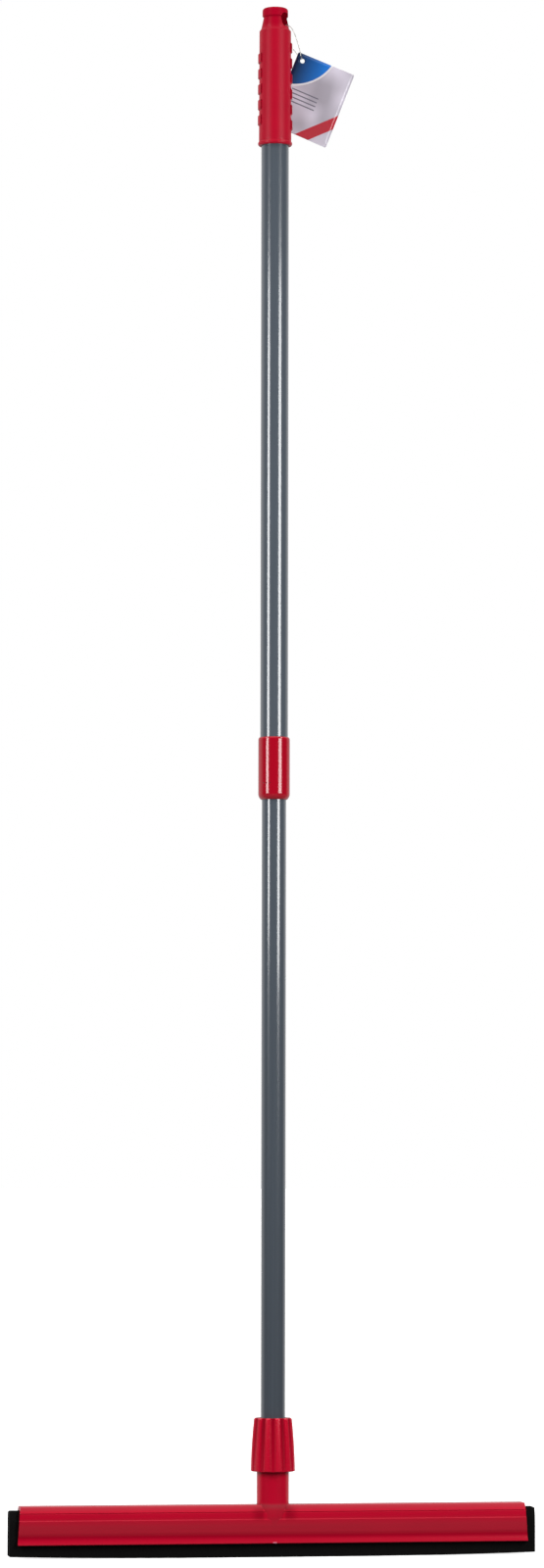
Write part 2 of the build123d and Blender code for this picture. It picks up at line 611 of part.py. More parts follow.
def grip_pad(facing, below_top):
    """Raised pad that wraps part of the way round the grip."""
    root = (SLEEVE_BORE + GRIP_TOP_RADIUS) / 2
    height = TOTAL_HEIGHT - below_top
    low = height - PAD_HEIGHT
    up_the_body = (height - GRIP_Z) / (SHOULDER_Z - GRIP_Z)
    face = GRIP_BOTTOM_RADIUS + up_the_body * (GRIP_TOP_RADIUS - GRIP_BOTTOM_RADIUS) + PAD_PROUD
    profile = make_face(
        Polyline(
            (root, low),
            (face - PAD_ROUNDING, low),
            (face, low + PAD_ROUNDING),
            (face, height - PAD_ROUNDING),
            (face - PAD_ROUNDING, height),
            (root, height),
            close=True,
        )
    )
    pad = revolve(Plane.XZ * profile, Axis.Z, PAD_ARC)
    return Rot(0, 0, facing - PAD_ARC / 2) * pad


def hang_slot():
    """Cutter with rounded corners, through the grip's neck."""
    across = Plane((0, 0, SLOT_MIDDLE_Z), x_dir=(0, 0, 1), z_dir=(SLOT_X, SLOT_Y, 0))
    mouth = RectangleRounded(SLOT_HEIGHT, SLOT_WIDTH, SLOT_CORNER)
    return extrude(across * mouth, GRIP_RIM_RADIUS, both=True)


def grip():
    """Hand grip with a column of pads on each side and the hang slot."""
    left = [grip_pad(180, LEFT_PADS_BELOW_TOP + row * PAD_PITCH) for row in range(LEFT_PADS)]
    right = [grip_pad(0, RIGHT_PADS_BELOW_TOP + row * PAD_PITCH) for row in range(RIGHT_PADS)]
    return grip_body() + left + right - hang_slot()


def eyelet_place():
    """Middle of the card's eyelet, which hangs on the thread by its upper edge."""
    thread_x = (CARD_FRONT_POINT[0] + CARD_BACK_POINT[0]) / 2
    thread_z = THREAD_Z + (CARD_FRONT_POINT[2] + CARD_BACK_POINT[2]) / 2
    hang = EYELET_DIAMETER / 2 - THREAD_DIAMETER / 2 - THREAD_SEAT_CLEARANCE
    return thread_x + hang * sin(radians(TAG_LEAN)), thread_z - hang * cos(radians(TAG_LEAN))


def hang_tag():
    """Upright card behind the grip, leaning clockwise on its thread."""
    eyelet_x, eyelet_z = eyelet_place()
    card = Plane.XZ * Rectangle(TAG_WIDTH, TAG_HEIGHT)
    card = extrude(card, TAG_THICKNESS, dir=(0, 1, 0))
    card = Pos(TAG_WIDTH / 2 - EYELET_FROM_SIDE, 0, EYELET_FROM_TOP - TAG_HEIGHT / 2) * card
    hole = Rot(90, 0, 0) * Cylinder(EYELET_DIAMETER / 2, EYELET_DIAMETER)
    return Pos(eyelet_x, TAG_BACK, eyelet_z) * Rot(0, TAG_LEAN, 0) * (card - hole)


def tag_loop():
    """Thread from one end of the knot round to the other, as straight runs joined by large arcs."""
    points = [Vector(x, y, THREAD_Z + z) for x, y, z in THREAD_ROUTE]
    radii = []
    for before, corner, after in zip(points, points[1:], points[2:]):
        run_in = corner - before
        run_out = after - corner
        turn = radians(run_in.get_angle(run_out))
        radii.append(ARC_SHARE * min(run_in.length, run_out.length) / tan(turn / 2))
    path = FilletPolyline(*points, radius=radii)
    section = RegularPolygon(THREAD_DIAMETER / 2, THREAD_SIDES)
    thread = sweep(Plane(points[0], z_dir=points[1] - points[0]) * section, path)
    expected = section.area * path.length
    print("thread radii", [round(radius, 1) for radius in radii])
    print("thread length", round(path.length, 1), "volume share", round(thread.volume / expected, 4))
    return thread


def tag_knot():
    """Small wound knot in the bottom of the slot, where the thread's two ends meet."""
    half_turn = KNOT_LENGTH / KNOT_TURNS / 2
    diameters = [THREAD_DIAMETER]
    for _ in range(KNOT_TURNS):
        diameters += [KNOT_DIAMETER, KNOT_WAIST_DIAMETER]
    diameters[-1] = THREAD_DIAMETER
    along = Vector(SLOT_X, SLOT_Y, 0)
    start = Vector(0, 0, THREAD_Z) - along * KNOT_END
    sections = [
        Plane(start + along * index * half_turn, z_dir=along) * RegularPolygon(diameter / 2, THREAD_SIDES)
        for index, diameter in enumerate(diameters)
    ]
    return loft(sections, ruled=True)


front_strip = Rot(0, 0, 180) * foam_lip()

PIECES = {
    "squeegee_head": squeegee_head(),
    "front_foam_lip": front_strip,
    "rear_foam_lip": foam_lip(),
    "spreader_rail": spreader_rail(),
    "clamp_ring": clamp_ring(),
    "clamp_nut": clamp_nut(),
    "foot_plug": foot_plug(),
    "lower_tube": lower_tube(),
    "lock_core": lock_core(),
    "lock_ring": lock_ring(),
    "lock_cap": lock_cap(),
    "upper_tube": upper_tube(),
    "collar": collar(),
    "grip": grip(),
    "hang_tag": hang_tag(),
    "tag_loop": tag_loop(),
    "tag_knot": tag_knot(),
}

os.makedirs("parts", exist_ok=True)
for name, solid in PIECES.items():
    export_step(solid, f"parts/{name}.step")
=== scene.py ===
from math import cos, pi, radians, sin, sqrt

import bmesh
import bpy
from bpy.props import FloatProperty, FloatVectorProperty, IntProperty, PointerProperty
from mathutils import Matrix, Vector, noise


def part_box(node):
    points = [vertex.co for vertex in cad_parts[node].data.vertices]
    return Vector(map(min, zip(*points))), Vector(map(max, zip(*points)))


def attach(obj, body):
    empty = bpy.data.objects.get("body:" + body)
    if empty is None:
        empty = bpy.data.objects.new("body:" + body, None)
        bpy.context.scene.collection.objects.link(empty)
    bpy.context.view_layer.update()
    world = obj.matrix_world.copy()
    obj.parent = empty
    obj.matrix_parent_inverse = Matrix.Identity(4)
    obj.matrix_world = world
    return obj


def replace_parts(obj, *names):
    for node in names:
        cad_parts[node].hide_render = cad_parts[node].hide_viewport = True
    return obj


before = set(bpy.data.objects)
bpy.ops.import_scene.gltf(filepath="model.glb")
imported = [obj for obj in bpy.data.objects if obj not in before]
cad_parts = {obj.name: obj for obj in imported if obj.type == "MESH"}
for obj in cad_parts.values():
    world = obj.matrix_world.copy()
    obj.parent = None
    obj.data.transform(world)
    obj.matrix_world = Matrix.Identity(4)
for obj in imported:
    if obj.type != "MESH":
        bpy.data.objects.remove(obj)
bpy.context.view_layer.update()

# Telescopic floor squeegee, in metres. X runs along the head, the front faces -Y, Z goes up the pole.

bl_info = {
    "name": "Telescopic floor squeegee",
    "version": (1, 0, 0),
    "blender": (4, 5, 0),
    "location": "View3D > Sidebar > Squeegee",
    "description": "Finishes, soft pieces and studio for a telescopic floor squeegee",
    "category": "Object",
}

MM = 0.001

# Bodies that the added pieces ride on
HEAD_BODY = "head"
POLE_BODY = "upper_pole"
CARD_BODY = "hang_tag"

# Thread of the card: the same route as its solid, measured from the knot's level
KNOT_LOW, KNOT_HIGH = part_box("tag_knot")
THREAD_LEVEL = (KNOT_LOW.z + KNOT_HIGH.z) / 2
SLOT_TURN = radians(-36.0)
SLOT_LINE = Vector((cos(SLOT_TURN), sin(SLOT_TURN), 0.0))
KNOT_END = 1.6 * MM
SLOT_REACH = 9.0 * MM
THREAD_ROUTE = [
    (*(SLOT_LINE * KNOT_END).xy, THREAD_LEVEL),
    (*(SLOT_LINE * SLOT_REACH).xy, THREAD_LEVEL),
    (14.8 * MM, -6.5 * MM, THREAD_LEVEL - 2.2 * MM),
    (26.0 * MM, 13.2 * MM, THREAD_LEVEL - 26.1 * MM),
    (26.0 * MM, 19.2 * MM, THREAD_LEVEL - 25.3 * MM),
    (15.5 * MM, 18.4 * MM, THREAD_LEVEL - 12.0 * MM),
    (1.5 * MM, 17.2 * MM, THREAD_LEVEL - 2.5 * MM),
    (-10.5 * MM, 12.5 * MM, THREAD_LEVEL + 0.4 * MM),
    (*(SLOT_LINE * -SLOT_REACH).xy, THREAD_LEVEL),
    (*(SLOT_LINE * -KNOT_END).xy, THREAD_LEVEL),
]
STRAND_STEPS_IN_LAY = 9
KNOT_STEPS_IN_TURN = 16
KNOT_RADIUS_IN_THREADS = 0.82
KNOT_TURNS_SPAN = KNOT_END * 1.7
KNOT_CORE_HALF = KNOT_END * 1.2

# Card: a leaning rectangle, so its sides follow from its box and its lean
CARD_LEAN = radians(21.0)
CARD_LOW, CARD_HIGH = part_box("hang_tag")
CARD_ACROSS = Vector((cos(CARD_LEAN), 0.0, -sin(CARD_LEAN)))
CARD_DOWN = Vector((-sin(CARD_LEAN), 0.0, -cos(CARD_LEAN)))
CARD_SPAN = CARD_HIGH - CARD_LOW
CARD_WIDTH = (CARD_SPAN.x * cos(CARD_LEAN) - CARD_SPAN.z * sin(CARD_LEAN)) / cos(2 * CARD_LEAN)
CARD_HEIGHT = (CARD_SPAN.z * cos(CARD_LEAN) - CARD_SPAN.x * sin(CARD_LEAN)) / cos(2 * CARD_LEAN)
CARD_CORNER = Vector((CARD_LOW.x - CARD_DOWN.x * CARD_HEIGHT, (CARD_LOW.y + CARD_HIGH.y) / 2, CARD_HIGH.z))
CARD_ROUNDING = 1.2 * MM
CARD_CORNER_STEPS = 4
CARD_FACE = 3.0 * MM
EYELET_FROM_SIDE = 6.0 * MM
EYELET_FROM_TOP = 6.2 * MM
EYELET_RADIUS = 2.0 * MM
EYELET_SIDES = 32
# Real fibres of the board are about 0.03 mm; they are drawn at 0.5 mm so that they show
FIBRE_MM = 0.5
CLOUD_MM = 28.6
# Way in which the card bends back, as shares right and down
CURL_ACROSS, CURL_DOWN = 0.55, 0.84

# Head: levels of its parts, and bands up its front with painted shade and painted sheen, each with its height
# over the lip's edge in mm, its share of the colour, which paints shade below 1, and its share of a pale
# haze, which paints sheen
HEAD_LOW, HEAD_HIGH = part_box("squeegee_head")
LIP_LEVEL = HEAD_LOW.z
LIP_FRONT = -13.2 * MM
HEAD_PAINTED_BANDS = (
    (0.0, 0.76, 0.0),
    (3.4, 0.88, 0.0),
    (6.7, 0.65, 0.0),
    (10.0, 0.85, 0.008),
    (16.0, 0.79, 0.012),
    (21.0, 0.9, 0.005),
    (23.5, 1.0, 0.0),
    (28.0, 1.0, 0.004),
    (32.0, 0.82, 0.032),
    (34.5, 1.0, 0.0),
)
# Strength of the painted shade in the corners beside the neck
NECK_CORNER_PAINTED_SHADE = 0.3
# Scar of the moulding gate, as shares of its radius and heights in mm, pressed flat to the lip
GATE_PROFILE = ((0.0, 0.5), (0.25, 0.46), (0.38, 0.24), (0.8, 0.18), (1.0, -0.05))
GATE_PLACE = (0.0, LIP_FRONT + 0.2 * MM, LIP_LEVEL + 0.7 * MM)
GATE_FLATNESS = 0.25
GATE_SIDES = 24

# Foam strips: their size, and how finely they are made
FOAM_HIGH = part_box("front_foam_lip")[1]
FOAM_HALF = FOAM_HIGH.x
FOAM_OUTLINE_STEP = 2.5 * MM
FOAM_SECTIONS = 120
FOAM_END_SHARES = (0.0, 0.15, 0.45, 1.0)
FOAM_END_STEPS = (1.3 * MM, 2.2 * MM)
FOAM_TOP_ROUNDING = 2.0 * MM
FOAM_WAVE_MM = 11.0

# Nut, screw ridge of the neck, collar, grip and tubes
NUT_LOW, NUT_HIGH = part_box("clamp_nut")
FLUTE_COUNT = 12
FLUTE_TURN = radians(-98.5)
NECK_RADIUS = 13.0 * MM
RIDGE_LOW = NUT_LOW.z + 4.2 * MM
RIDGE_HIGH = HEAD_HIGH.z - 1.6 * MM
COLLAR_LOW, COLLAR_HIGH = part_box("collar")
COLLAR_RADIUS = COLLAR_HIGH.x
PIN_LEVEL = COLLAR_LOW.z + 13.9 * MM
PIN_TURNS = (radians(50.3), radians(37.9), radians(23.8))
GRIP_NECK_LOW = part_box("grip")[1].z - 19.8 * MM
GRIP_NECK_HIGH = GRIP_NECK_LOW + 6 * MM
# Heights between which the tubes go from painted shade near the floor to painted light higher up
PAINTED_SHADE_LOW, PAINTED_LIGHT_HIGH = 0.12, 0.72

# Studio, with turns in degrees from the camera's bearing: name, turn, width and lower edge of each softbox,
# and name and turn of each high light
FLOOR_HALF = 30.0
SOFTBOXES = (("left_softbox", -50, 0.62, 0.61), ("right_softbox", 45, 0.76, 0.56))
SOFTBOX_DISTANCE = 2.0
SOFTBOX_TOP = 1.44
HIGH_LIGHTS = (("high_left_light", -60), ("high_right_light", 60))
HIGH_LIGHT_SLOPE = 0.84
HIGH_LIGHT_SPREAD = radians(15)


def linear(colour):
    """Linear RGBA of an sRGB hex colour."""
    channels = [int(colour[place : place + 2], 16) / 255 for place in (1, 3, 5)]
    return (*(c / 12.92 if c <= 0.04045 else ((c + 0.055) / 1.055) ** 2.4 for c in channels), 1.0)


WHITE = linear("#FFFFFF")


def shade(colour, share):
    """Colour made darker or lighter by a share."""
    return (*(min(channel * share, 1.0) for channel in colour[:3]), 1.0)


def per_metre(millimetres):
    """Scale of a pattern whose features are that many millimetres wide."""
    return 1000.0 / millimetres


def colour_property(name, description, colour):
    """Colour that a user can change, given as sRGB hex."""
    return FloatVectorProperty(
        name=name, description=description, default=linear(colour), size=4, min=0.0, max=1.0, subtype="COLOR"
    )


def length_property(name, description, metres):
    """Length that a user can change."""
    return FloatProperty(name=name, description=description, default=metres, min=0.0, unit="LENGTH")


def angle_property(name, description, degrees):
    """Angle that a user can change."""
    return FloatProperty(name=name, description=description, default=radians(degrees), subtype="ANGLE")


def light_property(name, description, strength):
    """Strength of a light that a user can change."""
    return FloatProperty(name=name, description=description, default=strength, min=0.0)


class SqueegeeColours(bpy.types.PropertyGroup):
    """Colours of the squeegee's finishes."""

    head: colour_property("Head", "Colour of the head moulding", "#C1062B")
    nut: colour_property("Nut", "Colour of the clamp nut", "#C4032A")
    collar: colour_property("Collar", "Colour of the collar", "#B20522")
    grip: colour_property("Grip", "Colour of the hand grip", "#BA0429")
    tube: colour_property("Tubes", "Colour of the lacquer on the tubes", "#525A63")
    foam: colour_property("Foam", "Colour of the foam strips", "#060505")
    inner: colour_property("Inner parts", "Colour of the plastic inside the pole and head", "#2E2E30")
    thread: colour_property("Thread", "Colour of the card's thread", "#F6F3EC")
    card: colour_property("Card", "Ground colour of the printed card", "#D4CDDB")
    card_corner: colour_property("Card corner", "Colour of the round corner on the card", "#0B62B4")
    card_ribbon: colour_property("Card ribbon", "Colour of the slanting ribbon on the card", "#C8142E")


class SqueegeeSizes(bpy.types.PropertyGroup):
    """Sizes of the pieces that are added to the solids."""

    foam_rise: length_property("Foam end rise", "How far the foam's lower edge rises at its ends", 2.2 * MM)
    foam_edge: length_property("Foam edge", "Rounding of the foam's cut edges", 0.7 * MM)
    foam_unevenness: length_property("Foam unevenness", "Depth of the waves in the cut foam", 0.25 * MM)
    card_thickness: length_property("Card thickness", "Thickness of the card", 0.4 * MM)
    card_curl: length_property("Card curl", "How far the card's lower corner bends back", 4.5 * MM)
    thread_diameter: length_property("Thread", "Diameter of the card's thread", 0.8 * MM)
    thread_lay: length_property("Thread lay", "Length of one turn of the thread's two strands", 2.4 * MM)
    knot_turns: IntProperty(name="Knot turns", description="Turns of thread in the knot", default=3, min=1)
    ridge_pitch: length_property("Ridge pitch", "Rise of the neck's thread in one turn", 3.0 * MM)
    ridge_height: length_property("Ridge height", "Height of the neck's thread over its core", 0.45 * MM)
    gate_radius: length_property("Gate mark", "Radius of the moulding mark on the lip", 2.0 * MM)


class SqueegeeStudio(bpy.types.PropertyGroup):
    """Camera and light of the studio."""

    camera_distance: length_property("Camera distance", "From the pole's axis to the camera", 4.5)
    camera_height: length_property("Camera height", "From the floor to the camera", 0.36)
    camera_bearing: angle_property("Camera bearing", "Turn of the camera round the pole", -8.5)
    camera_aside: angle_property("Camera aside", "Turn of the view past the pole", -0.022)
    camera_pitch: angle_property("Camera pitch", "Upward tilt of the view", 3.841)
    camera_roll: angle_property("Camera roll", "Roll of the view", 0.098)
    lens: FloatProperty(
        name="Lens",
        description="Focal length on a 36 mm frame, in mm",
        default=119.88,
        subtype="DISTANCE_CAMERA",
    )
    softbox: light_property("Softboxes", "Radiance of the two softboxes", 10.0)
    overhead: light_property("High lights", "Irradiance of the two lights high in front", 1.1)
    fill: light_property("Fill", "Radiance of the room in front of the squeegee", 0.03)


def add_node(tree, kind, inputs=None, **settings):
    """Adds a node with its settings, and gives each input, by name or number, its value or its link. A node
    stands for its first enabled output, and a list holds several links, or a value and its link."""
    node = tree.nodes.new(kind)
    for name, value in settings.items():
        setattr(node, name, value)
    for name, value in (inputs or {}).items():
        socket = node.inputs[name]
        for part in value if isinstance(value, list) else [value]:
            if isinstance(part, bpy.types.Node):
                part = next(output for output in part.outputs if output.enabled)
            if isinstance(part, bpy.types.NodeSocket):
                tree.links.new(part, socket)
            else:
                socket.default_value = part
    return node


def start_material(name):
    """New material, its node tree, and the place that its patterns read, in object coordinates."""
    material = bpy.data.materials.new(name)
    material.use_nodes = True
    tree = material.node_tree
    tree.nodes.clear()
    return material, tree, add_node(tree, "ShaderNodeTexCoord").outputs["Object"]


def end_material(material, tint, gloss, relief, settings, edge=None):
    """Gives a material its shader: a colour, a roughness from a pattern and its values at 0 and 1, a relief
    from a pattern, its strength and its depth, settings for the rest, and edges rounded by a radius."""
    tree = material.node_tree
    pattern, at_low, at_high = gloss
    limits = {"Value": pattern, "To Min": at_low, "To Max": at_high}
    height, strength, depth = relief
    bumps = {"Height": height, "Strength": strength, "Distance": depth}
    if edge:
        bumps["Normal"] = add_node(tree, "ShaderNodeBevel", {"Radius": edge}, samples=4)
    finish = {
        "Base Color": tint,
        "Roughness": add_node(tree, "ShaderNodeMapRange", limits),
        "Normal": add_node(tree, "ShaderNodeBump", bumps),
        **settings,
    }
    shader = add_node(tree, "ShaderNodeBsdfPrincipled", finish)
    add_node(tree, "ShaderNodeOutputMaterial", {"Surface": shader})
    return material


def head_painted_light(tree, place):
    """Shares of the head's colour, haze and polish: whole colour on the band, painted shade deepest in the
    hollow over the lip and in the corners beside the neck, and a pale painted sheen on the panel and bead."""
    axes = add_node(tree, "ShaderNodeSeparateXYZ", {"Vector": place})
    height = axes.outputs["Z"]
    top = HEAD_PAINTED_BANDS[-1][0]
    climb = {"Value": height, "From Min": LIP_LEVEL, "From Max": LIP_LEVEL + top * MM}
    # The ramp carries the painted shade in its colour and the painted sheen in its alpha
    bands = add_node(tree, "ShaderNodeValToRGB", {"Fac": add_node(tree, "ShaderNodeMapRange", climb)})
    stops = bands.color_ramp.elements
    for level, share, haze in HEAD_PAINTED_BANDS[1:-1]:
        stops.new(level / top)
    for stop, (level, share, haze) in zip(stops, HEAD_PAINTED_BANDS):
        stop.color = (share, share, share, haze)
    aside = add_node(tree, "ShaderNodeMath", {0: axes.outputs["X"]}, operation="ABSOLUTE")
    # Reach of the painted shade in the corners, out from the neck and up from the lip
    corner = NECK_CORNER_PAINTED_SHADE
    for value, outside, inside in (
        (aside, 8 * MM, 11 * MM),
        (aside, 22 * MM, 13 * MM),
        (height, LIP_LEVEL + 18 * MM, LIP_LEVEL + 22 * MM),
        (height, LIP_LEVEL + 32 * MM, LIP_LEVEL + 29 * MM),
    ):
        limits = {"Value": value, "From Min": outside, "From Max": inside}
        reach = add_node(tree, "ShaderNodeMapRange", limits, interpolation_type="SMOOTHSTEP")
        corner = add_node(tree, "ShaderNodeMath", {0: reach, 1: corner}, operation="MULTIPLY")
    open_share = add_node(tree, "ShaderNodeMath", {0: 1.0, 1: corner}, operation="SUBTRACT")
    share = add_node(tree, "ShaderNodeMath", {0: bands, 1: open_share}, operation="MULTIPLY")
    return share, bands.outputs["Alpha"], 1.0


def flute_painted_light(tree, place):
    """Shares of the nut's colour, haze and polish: painted shade in the flutes and a painted highlight on the
    ridges.
    """
    axes = add_node(tree, "ShaderNodeSeparateXYZ", {"Vector": place})
    point = {0: axes.outputs["Y"], 1: axes.outputs["X"]}
    turn = add_node(tree, "ShaderNodeMath", point, operation="ARCTAN2")
    from_flute = {0: turn, 1: FLUTE_COUNT, 2: -FLUTE_COUNT * FLUTE_TURN}
    phase = add_node(tree, "ShaderNodeMath", from_flute, operation="MULTIPLY_ADD")
    wave = add_node(tree, "ShaderNodeMath", {0: phase}, operation="COSINE")
    flute_light_and_shade = {"Value": wave, "From Min": -0.5, "From Max": 0.8, "To Min": 0.14, "To Max": -0.42}
    change = add_node(tree, "ShaderNodeMapRange", flute_light_and_shade)
    # The painted shade and highlight are strongest at the top of the nut
    climb = {"Value": axes.outputs["Z"], "From Min": NUT_LOW.z, "From Max": NUT_HIGH.z, "To Min": 0.45}
    strength = add_node(tree, "ShaderNodeMapRange", climb)
    share = add_node(tree, "ShaderNodeMath", {0: change, 1: strength, 2: 1.0}, operation="MULTIPLY_ADD")
    return share, 0.0, 1.0


def neck_painted_shade(tree, place):
    """Shares of the grip's colour, haze and polish: painted shade on its neck, with less specular there."""
    height = add_node(tree, "ShaderNodeSeparateXYZ", {"Vector": place}).outputs["Z"]
    climb = {"Value": height, "From Min": GRIP_NECK_LOW, "From Max": GRIP_NECK_HIGH, "To Min": 1.0}
    share = add_node(tree, "ShaderNodeMapRange", {**climb, "To Max": 0.88})
    polish = add_node(tree, "ShaderNodeMapRange", {**climb, "To Max": 0.3})
    return share, 0.0, polish


def moulded_polypropylene(name, colour, roughness, shine, depth=None):
    """Polypropylene from a spark-eroded mould: strong even colour with faint flow marks, painted shade in
    corners and wherever the given shares darken it, a pale painted sheen where a haze is given, a soft satin
    sheen from its fine grain, and edges that the mould leaves slightly round."""
    material, tree, place = start_material(name)
    along = add_node(tree, "ShaderNodeMapping", {"Vector": place, "Scale": (0.25, 1.0, 1.0)})
    flow = add_node(tree, "ShaderNodeTexNoise", {"Vector": along, "Scale": per_metre(14.0), "Detail": 2.0})
    shades = {0: flow, 6: shade(colour, 0.93), 7: shade(colour, 1.07)}
    tint = add_node(tree, "ShaderNodeMix", shades, data_type="RGBA")
    share, haze, polish = depth(tree, place) if depth else (1.0, 0.0, 1.0)
    # Ambient occlusion darkens the colour in corners: painted shade, on top of the shares given
    openness = add_node(tree, "ShaderNodeAmbientOcclusion", {"Distance": 2.5 * MM}, samples=8).outputs["AO"]
    painted_corner_shade = add_node(tree, "ShaderNodeMath", {0: openness, 1: 0.25}, operation="POWER")
    painted_light_share = add_node(tree, "ShaderNodeMath", {0: painted_corner_shade, 1: share}, operation="MULTIPLY")
    layers = {0: 1.0, 6: tint, 7: painted_light_share}
    painted_light_tint = add_node(tree, "ShaderNodeMix", layers, data_type="RGBA", blend_type="MULTIPLY")
    # The haze mixes the colour towards white: a painted sheen
    painted_sheen_tint = add_node(tree, "ShaderNodeMix", {0: haze, 6: painted_light_tint, 7: WHITE}, data_type="RGBA")
    gloss = add_node(tree, "ShaderNodeMath", {0: painted_light_share, 1: 3.0}, operation="POWER")
    for factor in (polish, shine):
        gloss = add_node(tree, "ShaderNodeMath", {0: gloss, 1: factor}, operation="MULTIPLY")
    # Real grain is about 0.1 mm; it is drawn at 0.9 mm so that it shows
    fine = {"Vector": place, "Scale": per_metre(0.9), "Detail": 3.0, "Roughness": 0.6}
    grain = add_node(tree, "ShaderNodeTexNoise", fine)
    sheen = (grain, roughness - 0.05, roughness + 0.05)
    settings = {"Specular IOR Level": [shine, gloss], "IOR": 1.49}
    return end_material(material, painted_sheen_tint, sheen, (grain, 0.12, 0.1 * MM), settings, edge=0.45 * MM)


def polished_abs(colour):
    """ABS from a polished mould, as on the collar: a clear gloss that mirrors the lamps, faint waviness,
    and three pin marks low on the left of its front."""
    material, tree, place = start_material("polished_abs")
    # Starts farther away than any pin
    nearest = 1.0
    for turn in PIN_TURNS:
        spot = (-COLLAR_RADIUS * sin(turn), -COLLAR_RADIUS * cos(turn), PIN_LEVEL)
        reach = add_node(tree, "ShaderNodeVectorMath", {0: place, 1: spot}, operation="DISTANCE")
        nearest = add_node(tree, "ShaderNodeMath", {0: reach, 1: nearest}, operation="MINIMUM")
    rim = {"Value": nearest, "From Min": 0.35 * MM, "From Max": 0.7 * MM}
    pin = add_node(tree, "ShaderNodeMapRange", rim, interpolation_type="SMOOTHSTEP")
    tint = add_node(tree, "ShaderNodeMix", {0: pin, 6: shade(colour, 0.35), 7: colour}, data_type="RGBA")
    waves = add_node(tree, "ShaderNodeTexNoise", {"Vector": place, "Scale": per_metre(9.0), "Detail": 1.0})
    height = add_node(tree, "ShaderNodeMath", {0: waves, 1: 0.004, 2: pin}, operation="MULTIPLY_ADD")
    haze = add_node(tree, "ShaderNodeTexNoise", {"Vector": place, "Scale": per_metre(2.5), "Detail": 3.0})
    settings = {"IOR": 1.54, "Coat Weight": 0.15, "Coat Roughness": 0.1}
    return end_material(material, tint, (haze, 0.12, 0.16), (height, 0.5, 0.2 * MM), settings, edge=0.3 * MM)


def lacquered_steel(colour):
    """Thin steel tube under a grey stove lacquer: smooth and glossy, with slight orange peel and drawing
    lines along the tube, and painted shade towards the floor that turns into painted light higher up."""
    material, tree, place = start_material("lacquered_steel")
    # Real drawing lines are about 0.1 mm wide; they are drawn at 1.2 mm so that they show
    along = add_node(tree, "ShaderNodeMapping", {"Vector": place, "Scale": (1.0, 1.0, 0.012)})
    lines = add_node(tree, "ShaderNodeTexNoise", {"Vector": along, "Scale": per_metre(1.2), "Detail": 3.0})
    shades = {0: lines, 6: shade(colour, 0.9), 7: shade(colour, 1.1)}
    tint = add_node(tree, "ShaderNodeMix", shades, data_type="RGBA")
    height = add_node(tree, "ShaderNodeSeparateXYZ", {"Vector": place}).outputs["Z"]
    # Painted shade near the floor, painted light higher up
    climb = {"Value": height, "From Min": PAINTED_SHADE_LOW, "From Max": PAINTED_LIGHT_HIGH, "To Min": 0.82, "To Max": 1.08}
    layers = {0: 1.0, 6: tint, 7: add_node(tree, "ShaderNodeMapRange", climb)}
    tube_painted_light = add_node(tree, "ShaderNodeMix", layers, data_type="RGBA", blend_type="MULTIPLY")
    peel = add_node(tree, "ShaderNodeTexNoise", {"Vector": place, "Scale": per_metre(1.6), "Detail": 1.0})
    settings = {"Coat Weight": 1.0, "Coat Roughness": 0.1}
    return end_material(material, tube_painted_light, (lines, 0.16, 0.24), (peel, 0.008, 0.05 * MM), settings)


def cellular_rubber(colour):
    """Black sponge rubber cut into strips: matte, nearly black, with open cells all over its cut faces."""
    material, tree, place = start_material("cellular_rubber")
    # Real cells are about 0.3 mm; they are drawn at 1.1 mm so that they show
    cells = add_node(tree, "ShaderNodeTexVoronoi", {"Vector": place, "Scale": per_metre(1.1)})
    walls = {"Value": cells, "From Min": 0.1, "From Max": 0.5}
    pores = add_node(tree, "ShaderNodeMapRange", walls, interpolation_type="SMOOTHSTEP")
    shades = {0: pores, 6: shade(colour, 0.5), 7: shade(colour, 1.35)}
    tint = add_node(tree, "ShaderNodeMix", shades, data_type="RGBA")
    fine = add_node(tree, "ShaderNodeTexNoise", {"Vector": place, "Scale": per_metre(0.6), "Detail": 3.0})
    height = add_node(tree, "ShaderNodeMath", {0: fine, 1: 0.4, 2: pores}, operation="MULTIPLY_ADD")
    settings = {"Specular IOR Level": 0.12}
    return end_material(material, tint, (fine, 0.78, 0.95), (height, 0.6, 0.25 * MM), settings)


